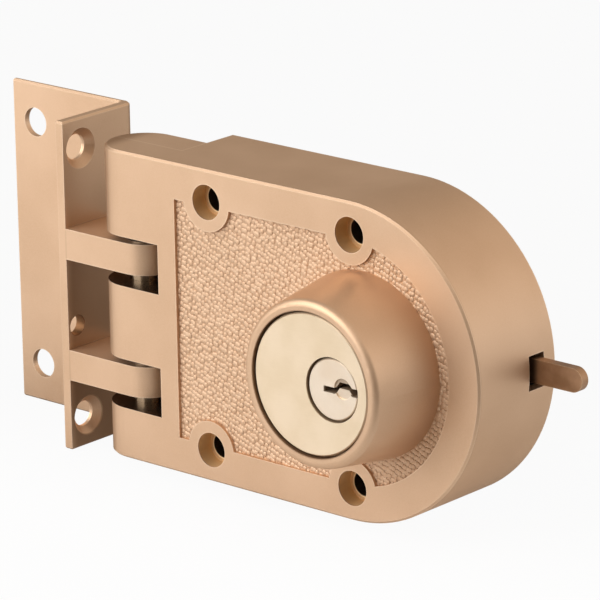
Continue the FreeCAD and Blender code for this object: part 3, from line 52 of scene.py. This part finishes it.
# A double cylinder lock and its angle strike: finishes for the frame's pieces, the pebbles of the
# sunk panel, the coiled tumbler springs and a plain studio. +X points away from the strike, +Y
# into the door and +Z up. Sizes are in millimetres, and MM turns them into metres.


# Sizes that the frame's boxes don't give, as the part's source has them. The pads are the round
# lands about the fixing holes.

collar_height, collar_x, collar_base, collar_bore = 16.0, -5.5, 19.5, 15.0
panel_depth, panel_border, panel_inset = 0.8, 7.7, 4.9
plate_rim = 1.2
pad_radius, sink_radius, hole_radius = 6.2, 3.7, 2.6
pad_middle_x, pad_half_x, pad_half_z = -27.5, 19.05, 26.5
gap_height, tip_reach = 10.6, 1.3
strike_clearance = 9.3
nail_y, nail_z, nail_radius = -19.1, -8.8, 2.2
face_sunk, plug_sunk, plug_radius = 0.4, 0.35, 6.35
dimple_x, dimple_z, dimple_radius = 2.5, 0.6, 2.15


# Places read from the frame

def edge_of(name, side, axis):
    """Where a node ends on one side (0 low, 1 high) along an axis, at rest."""
    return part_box(name)[side]["xyz".index(axis)] / MM


nose = edge_of("case_shell", 0, "x")
case_top = edge_of("case_shell", 1, "z")
case_right = edge_of("case_shell", 1, "x")
collar_lip = edge_of("case_shell", 0, "y")
case_front = collar_lip + collar_height
round_x = case_right - case_top
door_edge = edge_of("back_plate", 0, "x") - plate_rim
panel_level = case_front + panel_depth
panel_half = case_top - panel_border
panel_left = door_edge + panel_inset
strike_face = nose - strike_clearance
cylinder_face = collar_lip + face_sunk
plug_face = cylinder_face + plug_sunk

# The gaps between the knuckles lie just above the thrown pins' tips
gap_bottoms = [edge_of(name, 0, "z") + tip_reach
               for name in ("upper_locking_pin", "lower_locking_pin")]


# The classes that finishes are written with

class Signal:
    """A socket's value inside a finish, used in plain arithmetic."""

    def __init__(self, finish, socket):
        self.finish = finish
        self.socket = socket

    def _math(self, operation, *values):
        return self.finish.node("ShaderNodeMath", values, operation=operation)

    def __add__(self, other):
        return self._math("ADD", self, other)

    def __radd__(self, other):
        return self._math("ADD", other, self)

    def __sub__(self, other):
        return self._math("SUBTRACT", self, other)

    def __rsub__(self, other):
        return self._math("SUBTRACT", other, self)

    def __mul__(self, other):
        return self._math("MULTIPLY", self, other)

    def __rmul__(self, other):
        return self._math("MULTIPLY", other, self)

    def __abs__(self):
        return self._math("ABSOLUTE", self)

    def either(self, other):
        """The larger of two values."""
        return self._math("MAXIMUM", self, other)

    def between(self, low, high):
        """Nought below low, one above high and smooth between them."""
        return self.finish.node("ShaderNodeMapRange", (self, low, high, 0.0, 1.0),
                                interpolation_type="SMOOTHSTEP")


class Finish:
    """One procedural material or backdrop: its nodes, and the shader they end in."""

    def __init__(self, owner, coordinates="Object"):
        owner.use_nodes = True
        self.owner = owner
        self.tree = owner.node_tree
        self.tree.nodes.clear()
        self.place = self.node("ShaderNodeTexCoord", output=coordinates)

    def node(self, kind, values=(), output=0, **settings):
        """Adds a node with its settings first, then the values or links of its sockets."""
        made = self.tree.nodes.new(kind)
        for name, value in settings.items():
            setattr(made, name, value)
        pairs = values.items() if isinstance(values, dict) else enumerate(values)
        for key, value in pairs:
            if isinstance(value, Signal):
                self.tree.links.new(value.socket, made.inputs[key])
            else:
                made.inputs[key].default_value = value
        return Signal(self, made.outputs[output]) if made.outputs else None

    def along(self, axis):
        """The place on the piece along one axis, in millimetres."""
        part = self.node("ShaderNodeSeparateXYZ", (self.place,), output="xyz".index(axis))
        return part * (1 / MM)

    def stretched(self, *scale):
        """The place on the piece, squeezed by a number along each axis."""
        return self.node("ShaderNodeMapping", {"Vector": self.place, "Scale": scale})

    def noise(self, size, detail, rough=0.5, vector=None):
        """Cloudy noise with lumps of this size, in millimetres."""
        return self.node("ShaderNodeTexNoise", {
            "Vector": vector or self.place, "Scale": 1 / (size * MM),
            "Detail": detail, "Roughness": rough})

    def grains(self, size):
        """A patchwork of flat grains of this size, in millimetres, each with its own value."""
        patches = self.node("ShaderNodeTexVoronoi", {
            "Vector": self.place, "Scale": 1 / (size * MM)}, output="Color")
        return self.node("ShaderNodeSeparateColor", (patches,))

    def mix(self, factor, first, second):
        """A colour between two others."""
        return self.node("ShaderNodeMix", {0: factor, 6: first, 7: second}, output=2,
                         data_type="RGBA")

    def edges(self, width):
        """One along sharp edges and nought elsewhere, for an edge this many millimetres wide."""
        soft = self.node("ShaderNodeBevel", {"Radius": width * MM}, samples=6)
        flat = self.node("ShaderNodeNewGeometry", output="Normal")
        dot = self.node("ShaderNodeVectorMath", (soft, flat), output="Value",
                        operation="DOT_PRODUCT")
        return (1.0 - dot).between(0.004, 0.12)

    def bump(self, height, depth):
        """Relief this many millimetres deep."""
        return self.node("ShaderNodeBump", {
            "Height": height, "Distance": depth * MM, "Strength": 1.0})

    def surface(self, color, rough, metallic, normal, **fixed):
        """Ends the finish in a metal or paint, and gives the material."""
        values = {"Base Color": color, "Roughness": rough, "Metallic": metallic, "Normal": normal}
        values.update({name.replace("_", " "): value for name, value in fixed.items()})
        self.end(self.node("ShaderNodeBsdfPrincipled", values))
        return self.owner

    def end(self, shader, kind="Material"):
        self.node(f"ShaderNodeOutput{kind}", (shader,))


def shade(*srgb):
    """A colour given as it looks on a screen, 0 to 255."""
    parts = [value / 255 for value in srgb]
    linear = [p / 12.92 if p <= 0.04045 else ((p + 0.055) / 1.055) ** 2.4 for p in parts]
    return (*linear, 1.0)


def light(red, green, blue):
    """A colour given by how much light it reflects or gives, 0 to 1."""
    return (red, green, blue, 1.0)


def new_finish(name):
    return Finish(bpy.data.materials.new(name))


# Masks: where on its piece a finish changes

def inside(across, up, radius, blur):
    """One within this radius of an axis, fading to nought over the blur outside it."""
    return 1.0 - (across * across + up * up).between(radius ** 2, (radius + blur) ** 2)


def in_gaps(paint):
    """One inside the two gaps between the knuckles, where the finish gets painted shade and a
    glossier, more metallic surface.
    """
    x, z = paint.along("x"), paint.along("z")
    half = gap_height / 2
    upper, lower = [1.0 - abs(z - (bottom + half)).between(half + 0.02, half + 0.06)
                    for bottom in gap_bottoms]
    return upper.either(lower) * (1.0 - x.between(door_edge - 0.02, door_edge + 0.02))


def in_screw_holes(paint, radius):
    """One on the walls of the fixing holes, within this distance of their axes."""
    x = abs(paint.along("x") - pad_middle_x) - pad_half_x
    z = abs(paint.along("z")) - pad_half_z
    below_front = paint.along("y").between(case_front + 0.15, case_front + 0.5)
    return inside(x, z, radius + 0.05, 0.07) * below_front


def panel_crease_shade(paint):
    """One on the panel's floor, between the pebbles, for painted shade in the creases."""
    return 1.0 - abs(paint.along("y") - panel_level).between(0.02, 0.1)


def pebble_foot_shade(paint):
    """One where a pebble meets the panel and nought on its crown, for painted shade at its foot.
    """
    return 1.0 - (panel_level - paint.along("y")).between(0.02, 0.2)


def nose_shade(paint):
    """One on the rounded end of the knuckles, fading towards their flat front, for painted shade.
    """
    dark_until, clean_from = nose + 1.5, nose + 6
    return 1.0 - paint.along("x").between(dark_until, clean_from)


def case_shade(paint):
    """The nose's painted shade, and one on the walls of the collar's bore, for painted shade in
    the gap round the key cylinder.
    """
    in_bore = inside(paint.along("x") - collar_x, paint.along("z"), collar_bore + 0.1, 0.15)
    in_collar = 1.0 - paint.along("y").between(case_front - 1, case_front)
    return nose_shade(paint).either(in_bore * in_collar)


def pocket_shade(paint):
    """Painted shade: one on the strike's side leg where the knuckles shut it in, more in its nail
    hole.
    """
    x, y, z = [paint.along(axis) for axis in "xyz"]
    on_face = 1.0 - abs(x - strike_face).between(0.05, 0.3)
    behind_edge = y.between(case_front + 1, case_front + 4)
    dark_until, clean_from = 6, 27
    shut_in = on_face * behind_edge * (1.0 - z.between(dark_until, clean_from))
    in_hole = inside(y - nail_y, z - nail_z, nail_radius + 0.05, 0.15)
    return shut_in.either(in_hole * 1.6)


def cylinder_gap_shade(brass):
    """One behind the key cylinder's face, on what lines the gaps round it and round the plug, for
    painted shade in those gaps.
    """
    return brass.along("y").between(cylinder_face + 0.1, cylinder_face + 0.35)


def plug_shade(brass):
    """Painted shade: one on the plug's rim and in its keyway, less in its dimple and least in its
    lower half.
    """
    x, y, z = [brass.along(axis) for axis in "xyz"]
    on_rim = 1.0 - inside(x, z, plug_radius - 0.2, 0.2)
    in_keyway = y.between(plug_face + 0.42, plug_face + 0.55)
    up = z - dimple_z
    in_dimple = inside(x - dimple_x, up, dimple_radius - 0.15, 0.2)
    sunk = y.between(plug_face + 0.1, plug_face + 0.25)
    shaded = in_dimple * sunk * (0.15 + up.between(-0.2, 1.2) * 0.55)
    return on_rim.either(in_keyway).either(shaded)


def in_lever_slot(strip):
    """One on the part of the lever's blade that its slot shades."""
    return 1.0 - strip.along("x").between(case_right - 0.3, case_right + 1.2)


# Finishes

def bronze_paint(name, crease_shade=None, painted_shade=None, holes=False, bare=None, dulled=0.0):
    """Satin metallic enamel, rose bronze, with fine flakes and brighter edges, partly rubbed paint
    and partly a painted highlight.
    """
    paint = new_finish(name)
    cloud = paint.noise(22, detail=3)
    flakes = paint.grains(0.19)
    color = paint.mix(cloud.between(0.3, 0.7), shade(212, 177, 145), shade(221, 187, 156))
    color = paint.mix(flakes * 0.14, color, shade(240, 214, 186))
    # Brighter edges: partly rubbed paint, partly a painted highlight along them.
    color = paint.mix(paint.edges(0.5) * 0.6, color, shade(246, 222, 196))
    rough = 0.39 + dulled + cloud * 0.08 + flakes * 0.06
    metallic = 0.7
    # Painted shade in the creases between the pebbles and at their feet.
    if crease_shade is not None:
        color = paint.mix(crease_shade(paint) * 0.18, color, shade(150, 112, 84))
    # Painted shade where the mask is one: the knuckles' rounded end, the collar's bore and the
    # strike's shut-in side leg.
    if painted_shade is not None:
        color = paint.mix(painted_shade(paint) * 0.6, color, shade(120, 80, 46))
    # The countersinks' walls are lighter and less metallic, partly bare casting and partly painted
    # light; the ledge round each through-hole gets a painted highlight and the through-holes
    # painted shade.
    if holes:
        sink = in_screw_holes(paint, sink_radius)
        ledge_highlight = in_screw_holes(paint, hole_radius + 0.3)
        color = paint.mix(sink * 0.8, color, shade(226, 190, 138))
        color = paint.mix(ledge_highlight * 0.8, color, shade(252, 232, 196))
        color = paint.mix(in_screw_holes(paint, hole_radius), color, shade(46, 36, 26))
        metallic = metallic - sink * 0.4
    # Painted shade in the gaps between the knuckles, where the surface is also glossier and more
    # metallic.
    if bare is not None:
        gap_shade_and_gloss = bare(paint)
        color = paint.mix(gap_shade_and_gloss, color, shade(92, 80, 70))
        rough = rough - gap_shade_and_gloss * 0.16
        metallic = metallic + gap_shade_and_gloss * 0.25
    orange_peel = paint.noise(0.9, detail=2)
    fine = paint.noise(0.22, detail=1)
    normal = paint.bump(orange_peel * 0.6 + fine * 0.4, 0.012)
    return paint.surface(color, rough, metallic, normal, Specular_Tint=light(0.86, 0.72, 0.58))


def brushed_brass(name, low, high, rough, metallic, lines, gap_shade=None):
    """Brass rubbed across with fine parallel lines, with painted shade where the given mask is
    one.
    """
    brass = new_finish(name)
    cloud = brass.noise(7, detail=3)
    lay = brass.noise(0.12, detail=3, rough=0.6, vector=brass.stretched(*lines))
    color = brass.mix(cloud.between(0.3, 0.7), low, high)
    color = brass.mix(lay.between(0.4, 0.7) * 0.1, color, shade(255, 240, 212))
    color = brass.mix(brass.edges(0.25) * 0.3, color, shade(255, 246, 226))
    rough = rough + lay * 0.12
    if gap_shade is not None:
        # Painted shade in the gaps and recesses the mask marks: darker, rougher and less metallic.
        gap_darkness = gap_shade(brass)
        color = brass.mix(gap_darkness * 0.8, color, shade(112, 82, 48))
        rough = rough + gap_darkness * 0.2
        metallic = metallic - gap_darkness * 0.5
    normal = brass.bump(lay, 0.0015)
    return brass.surface(color, rough, metallic, normal)


def turned_steel(name, low, high, rough, line=0.25, marks=0.3):
    """Bright steel with turning marks and a little soiling."""
    steel = new_finish(name)
    cloud = steel.noise(3, detail=4)
    turning = steel.noise(line, detail=2, vector=steel.stretched(0.12, 1, 1))
    color = steel.mix(cloud.between(0.35, 0.75), low, high)
    color = steel.mix(steel.edges(0.2) * 0.4, color, shade(236, 236, 234))
    normal = steel.bump(turning * marks + cloud * 0.3, 0.006)
    return steel.surface(color, rough + cloud * 0.12, 1.0, normal)


def plated_steel():
    """Zinc plate: cool, slightly mottled, with a soft spangle."""
    plate = new_finish("zinc_plated_steel")
    spangle = plate.grains(1.6)
    cloud = plate.noise(9, detail=4)
    scratch = plate.noise(0.15, detail=2, vector=plate.stretched(0.05, 1, 1))
    color = plate.mix(spangle * 0.5 + cloud * 0.5, shade(168, 164, 150), shade(206, 204, 196))
    color = plate.mix(plate.edges(0.4) * 0.4, color, shade(232, 232, 228))
    normal = plate.bump(spangle * 0.4 + scratch * 0.6, 0.006)
    return plate.surface(color, 0.32 + cloud * 0.16, 0.95, normal)


def cast_zinc():
    """Bare die casting: dull grey skin with flow marks."""
    cast = new_finish("bare_zinc_casting")
    flow = cast.noise(5, detail=4, rough=0.6, vector=cast.stretched(1, 1, 0.4))
    grit = cast.noise(0.3, detail=2)
    color = cast.mix(flow.between(0.3, 0.7), shade(150, 151, 153), shade(186, 187, 188))
    color = cast.mix(cast.edges(0.3) * 0.5, color, shade(214, 214, 214))
    normal = cast.bump(flow * 0.5 + grit * 0.5, 0.02)
    return cast.surface(color, 0.45 + grit * 0.15, 0.85, normal)


def lever_bronze():
    """Dull brown bronze strip with a rolled grain and bare edges, with painted shade inside its
    slot.
    """
    strip = new_finish("dull_lever_bronze")
    cloud = strip.noise(4, detail=4)
    grain = strip.noise(0.14, detail=2, vector=strip.stretched(0.08, 1, 1))
    color = strip.mix(cloud.between(0.3, 0.75), shade(156, 119, 88), shade(184, 146, 114))
    color = strip.mix(strip.edges(0.35) * 0.7, color, shade(214, 186, 152))
    # Painted shade on the blade where its slot shades it.
    color = strip.mix(in_lever_slot(strip) * 0.8, color, shade(58, 40, 28))
    normal = strip.bump(grain, 0.008)
    return strip.surface(color, 0.38 + cloud * 0.14, 0.75, normal)


satin_brass = {"low": shade(233, 212, 181), "high": shade(241, 221, 193), "rough": 0.36,
               "metallic": 0.75, "lines": (0.06, 1, 1)}
pale_brass = {"low": shade(235, 216, 193), "high": shade(241, 226, 207), "rough": 0.34,
              "metallic": 0.7, "lines": (1, 1, 0.06)}
slot_finishes = {
    "bronze_paint": bronze_paint("satin_bronze_paint"),
    "brass": brushed_brass("satin_cylinder_brass", **satin_brass),
    "plug_brass": brushed_brass("pale_plug_brass", gap_shade=plug_shade, **pale_brass),
    "steel": turned_steel("turned_steel", shade(186, 184, 180), shade(216, 215, 212), 0.1,
                          marks=0.06),
    "plated_steel": plated_steel(),
    "hub_steel": turned_steel("sintered_hub_steel", shade(120, 118, 114), shade(150, 148, 144),
                              0.4, line=0.4, marks=0.15),
    "spring": turned_steel("tempered_spring_steel", shade(150, 152, 158), shade(184, 186, 190),
                           0.2, line=0.15),
    "cast_zinc": cast_zinc(),
    "lever_bronze": lever_bronze(),
}
node_finishes = {
    "case_shell": bronze_paint("case_bronze_paint", crease_shade=panel_crease_shade, painted_shade=case_shade,
                               holes=True, bare=in_gaps),
    "cylinder_body": brushed_brass("gap_shaded_cylinder_brass", gap_shade=cylinder_gap_shade, **satin_brass),
    "knuckle_cover": bronze_paint("knuckle_bronze_paint", painted_shade=nose_shade, bare=in_gaps),
    "angle_strike": bronze_paint("strike_bronze_paint", painted_shade=pocket_shade),
}
pebble_paint = bronze_paint("pebble_bronze_paint", crease_shade=pebble_foot_shade, dulled=0.18)

for part in frame["record"]["subparts"]:
    slot_finish = slot_finishes[part["material_slot"]]
    mesh = nodes[part["node"]].data
    mesh.materials.clear()
    mesh.materials.append(node_finishes.get(part["node"], slot_finish))


# Geometry trees

def add_to_scene(name, data):
    """A new object for a mesh, lamp or camera."""
    item = bpy.data.objects.new(name, data)
    bpy.context.scene.collection.objects.link(item)
    return item


def node_tree(name, **inputs):
    """An empty geometry tree with a mesh input, a mesh output and its own named inputs."""
    tree = bpy.data.node_groups.new(name, "GeometryNodeTree")
    tree.interface.new_socket("Geometry", in_out="INPUT", socket_type="NodeSocketGeometry")
    for label, kind in inputs.items():
        tree.interface.new_socket(label, in_out="INPUT", socket_type=f"NodeSocket{kind}")
    tree.interface.new_socket("Geometry", in_out="OUTPUT", socket_type="NodeSocketGeometry")
    return tree


class Maker:
    """Adds nodes to a geometry tree."""

    def __init__(self, tree):
        self.tree = tree
        self.given = tree.nodes.new("NodeGroupInput").outputs

    def add(self, kind, values=None, output=0, **settings):
        """Adds a node with its settings first, then the values or links of its sockets."""
        made = self.tree.nodes.new(kind)
        for name, value in settings.items():
            setattr(made, name, value)
        for key, value in (values or {}).items():
            if isinstance(value, bpy.types.NodeSocket):
                self.tree.links.new(value, made.inputs[key])
            else:
                made.inputs[key].default_value = value
        return made.outputs[output]

    def math(self, operation, first, second):
        return self.add("ShaderNodeMath", {0: first, 1: second}, operation=operation)

    def vector(self, **parts):
        return self.add("ShaderNodeCombineXYZ", {key.upper(): part for key, part in parts.items()})

    def chance(self, low, high, seed):
        """A random number for each point, from the tree's own seed."""
        own = self.math("ADD", self.given["Seed"], seed)
        return self.add("FunctionNodeRandomValue", {2: low, 3: high, "Seed": own},
                        output=1, data_type="FLOAT")

    def smooth(self, shape):
        return self.add("GeometryNodeSetShadeSmooth", {"Geometry": shape, "Shade Smooth": True})

    def end(self, shape):
        """Make the copies real, give them their finish and send them out."""
        real = self.add("GeometryNodeRealizeInstances", {"Geometry": shape})
        done = self.add("GeometryNodeSetMaterial", {"Geometry": real,
                                                    "Material": self.given["Finish"]})
        self.tree.links.new(done, self.tree.nodes.new("NodeGroupOutput").inputs[0])


def grown(name, places, tree, inputs):
    """A plain mesh made by a geometry tree from a set of places."""
    points = bpy.data.meshes.new(name + "_places")
    points.from_pydata([tuple(place) for place in places], [], [])
    holder = add_to_scene(name + "_places", points)
    modifier = holder.modifiers.new("tree", "NODES")
    modifier.node_group = tree
    identifiers = {item.name: item.identifier for item in tree.interface.items_tree
                   if item.in_out == "INPUT"}
    for label, value in inputs.items():
        modifier[identifiers[label]] = value
    graph = bpy.context.evaluated_depsgraph_get()
    mesh = bpy.data.meshes.new_from_object(holder.evaluated_get(graph), depsgraph=graph)
    mesh.name = name
    holder.modifiers.clear()
    bpy.data.objects.remove(holder)
    return add_to_scene(name, mesh)


# Pebbled panel

def on_panel(x, z):
    """Whether a pebble lies on the sunk panel, at most a little way into its edges."""
    overlap = 0.25
    if x < panel_left - overlap:
        return False
    if math.hypot(max(x - round_x, 0.0), z) > panel_half + overlap:
        return False
    if math.hypot(x - collar_x, z) < collar_base - overlap:
        return False
    from_pad = math.hypot(abs(x - pad_middle_x) - pad_half_x, abs(z) - pad_half_z)
    return from_pad > pad_radius - overlap


def pebble_places(seed):
    """Slightly uneven slanted rows of places over the panel."""
    drift = random.Random(seed)
    shift = 0.22
    step, next_row = Vector((0.18, 1.09)), Vector((0.97, 0.79))
    steps, rows = 110, 80
    places = []
    for i in range(-steps, steps + 1):
        for j in range(-rows, rows + 1):
            x = pad_middle_x + step.x * i + next_row.x * j + drift.uniform(-shift, shift)
            z = step.y * i + next_row.y * j + drift.uniform(-shift, shift)
            if on_panel(x, z):
                places.append(Vector((x, panel_level, z)) * MM)
    return places


def pebble_tree():
    """Puts a low oval pebble, turned and sized a little differently, on every place."""
    maker = Maker(node_tree("panel_pebbles", Size="Float", Height="Float", Slant="Float",
                            Seed="Int", Finish="Material"))
    given = maker.given
    ball = maker.add("GeometryNodeMeshUVSphere", {"Segments": 10, "Rings": 5, "Radius": 1.0})
    slant = maker.math("ADD", maker.chance(-0.7, 0.7, 0), given["Slant"])
    length = maker.math("MULTIPLY", maker.chance(0.92, 1.12, 1), given["Size"])
    width = maker.math("MULTIPLY", maker.chance(0.88, 1.0, 2), given["Size"])
    height = maker.math("MULTIPLY", maker.chance(0.8, 1.15, 3), given["Height"])
    maker.end(maker.add("GeometryNodeInstanceOnPoints", {
        "Points": given["Geometry"], "Instance": maker.smooth(ball),
        "Rotation": maker.vector(y=slant),
        "Scale": maker.vector(x=length, y=height, z=width)}))
    return maker.tree


pebbles = grown("panel_pebbles", pebble_places(seed=7), pebble_tree(), {
    "Size": 0.6 * MM, "Height": 0.2 * MM, "Slant": math.radians(40), "Seed": 3,
    "Finish": pebble_paint})
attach(pebbles, "case")


# Coiled tumbler springs, in place of the tubes that stand for them

def coil_tree():
    """Winds one small spring along X and copies it to every place."""
    maker = Maker(node_tree("tumbler_coils", Length="Float", Radius="Float", Wire="Float",
                            Turns="Float", Finish="Material"))
    given = maker.given
    helix = maker.add("GeometryNodeCurveSpiral", {
        "Resolution": 14, "Rotations": given["Turns"], "Start Radius": given["Radius"],
        "End Radius": given["Radius"], "Height": given["Length"]})
    ring = maker.add("GeometryNodeCurvePrimitiveCircle", {"Resolution": 6,
                                                          "Radius": given["Wire"]})
    wire = maker.add("GeometryNodeCurveToMesh", {"Curve": helix, "Profile Curve": ring,
                                                 "Fill Caps": True})
    maker.end(maker.add("GeometryNodeInstanceOnPoints", {
        "Points": given["Geometry"], "Instance": maker.smooth(wire),
        "Rotation": (0.0, math.pi / 2, 0.0)}))
    return maker.tree


def coil_places(low, high, count, radius, wire):
    """The ends of the coils' axes, in an even row from one end of the tubes' box to the other."""
    first, last = low[1] + radius, high[1] - radius
    return [(low[0] + wire, first + (last - first) * step / (count - 1), 0.0)
            for step in range(count)]


tube_low, tube_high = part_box("pin_springs")
tube_radius = (tube_high[2] - tube_low[2]) / 2
coil_wire, coil_turns, coil_count = 0.17 * MM, 8.0, 5
coil_ends = coil_places(tube_low, tube_high, coil_count, tube_radius, coil_wire)
coils = grown("tumbler_coils", coil_ends, coil_tree(), {
    "Length": tube_high[0] - tube_low[0] - 2 * coil_wire, "Radius": tube_radius - coil_wire,
    "Wire": coil_wire, "Turns": coil_turns, "Finish": slot_finishes["spring"]})
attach(coils, "case")
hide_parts("pin_springs")


# Studio

white = light(1, 1, 1)


def background_share(finish, straight, reflected):
    """How much of the white background camera rays see, and glossy and glass rays."""
    camera_ray, glossy_ray, glass_ray = [
        finish.node("ShaderNodeLightPath", output=f"Is {kind} Ray")
        for kind in ("Camera", "Glossy", "Transmission")]
    return (camera_ray * straight).either(glossy_ray.either(glass_ray) * reflected)


def floor_finish():
    """Matt and pale, with painted shade beyond the strike and on the right, white to the camera.

    From below it is clear.
    """
    pale = new_finish("pale_floor")
    across, along = pale.along("x"), pale.along("y")
    # Painted shade on the floor beyond the strike and to the right, which also darkens what the
    # object reflects there.
    far_side = along.between(-60, 10) * (1.0 - across.between(-30, 30))
    near_right = (across - along).between(70, 180) * (1.0 - along.between(-60, 0))
    shaded = far_side.either(near_right)
    chalk = pale.node("ShaderNodeBsdfDiffuse", {
        "Color": pale.mix(shaded, light(0.92, 0.92, 0.92), light(0.24, 0.22, 0.2))})
    glow = pale.node("ShaderNodeEmission", {"Color": white, "Strength": 1.0})
    share = background_share(pale, 0.95, 0.45 - shaded * 0.4)
    seen = pale.node("ShaderNodeMixShader", (share, chalk, glow))
    clear = pale.node("ShaderNodeBsdfTransparent")
    from_below = pale.node("ShaderNodeNewGeometry", output="Backfacing")
    pale.end(pale.node("ShaderNodeMixShader", (from_below, seen, clear)))
    return pale.owner


def floor_mesh(level, half_width):
    """A square floor, in metres."""
    mesh = bpy.data.meshes.new("floor")
    corners = ((-1, -1), (1, -1), (1, 1), (-1, 1))
    mesh.from_pydata([(x * half_width, y * half_width, level) for x, y in corners], [],
                     [(0, 1, 2, 3)])
    mesh.materials.append(floor_finish())
    return mesh


def studio_room():
    """White at the horizon, grey overhead, lighter on the right, and dark on the camera's side.

    Camera rays see it white all over.
    """
    world = bpy.data.worlds.new("studio")
    room = Finish(world, coordinates="Generated")
    aside, forward, height = [room.node("ShaderNodeSeparateXYZ", (room.place,), output=index)
                              for index in range(3)]
    ceiling = room.mix(aside.between(-0.6, 0.25), light(0.36, 0.335, 0.31),
                       light(0.88, 0.76, 0.64))
    sky = room.mix((height - aside * 0.12).between(0.04, 0.3), white, ceiling)
    sky = room.mix((aside - forward).between(0.8, 1.35), sky, light(0.26, 0.22, 0.18))
    camera_ray = room.node("ShaderNodeLightPath", output="Is Camera Ray")
    fill = room.node("ShaderNodeBackground", {"Color": sky, "Strength": 0.5})
    shown = room.node("ShaderNodeBackground", {
        "Color": room.mix(camera_ray, sky, white), "Strength": 1.0})
    share = background_share(room, 1.0, 1.0)
    room.end(room.node("ShaderNodeMixShader", (share, fill, shown)), "World")
    return world


def lamp(name, place, aim, wide, power):
    """A soft square lamp, placed and aimed in metres, with its power in watts."""
    glow = bpy.data.lights.new(name, "AREA")
    glow.size = wide
    glow.energy = power
    item = add_to_scene(name, glow)
    item.location = place
    item.rotation_euler = (Vector(aim) - Vector(place)).to_track_quat("-Z", "Y").to_euler()


def photograph_camera():
    """The camera fitted to the photograph: its axes, its place in metres and its lens."""
    right = Vector((0.75437, 0.65626, -0.01581))
    down = Vector((0.18142, -0.23157, -0.95575))
    ahead = Vector((-0.63089, 0.71812, -0.29375))
    place = (0.55838, -0.68395, 0.28061)
    focal_pixels, picture_pixels, sensor = 4593, 600, 36
    data = bpy.data.cameras.new("camera")
    data.sensor_width = sensor
    data.lens = focal_pixels / picture_pixels * sensor
    data.clip_start, data.clip_end = 0.05, 20
    camera = add_to_scene("camera", data)
    turn = Matrix((right, -down, -ahead)).transposed().to_4x4()
    camera.matrix_world = Matrix.Translation(place) @ turn
    return camera


floor_drop = 0.2
floor_level = (edge_of("angle_strike", 0, "z") - floor_drop) * MM
floor = add_to_scene("floor", floor_mesh(floor_level, half_width=4.0))

middle = (-0.03, -0.02, 0.0)
lamp("key_lamp", (-0.5, -0.8, 0.5), middle, wide=1.1, power=11.5)
lamp("rim_lamp", (0.9, 0.5, 0.3), middle, wide=0.9, power=1.2)

bpy.context.scene.world = studio_room()
bpy.context.scene.camera = photograph_camera()
bpy.context.scene.view_settings.view_transform = "Standard"
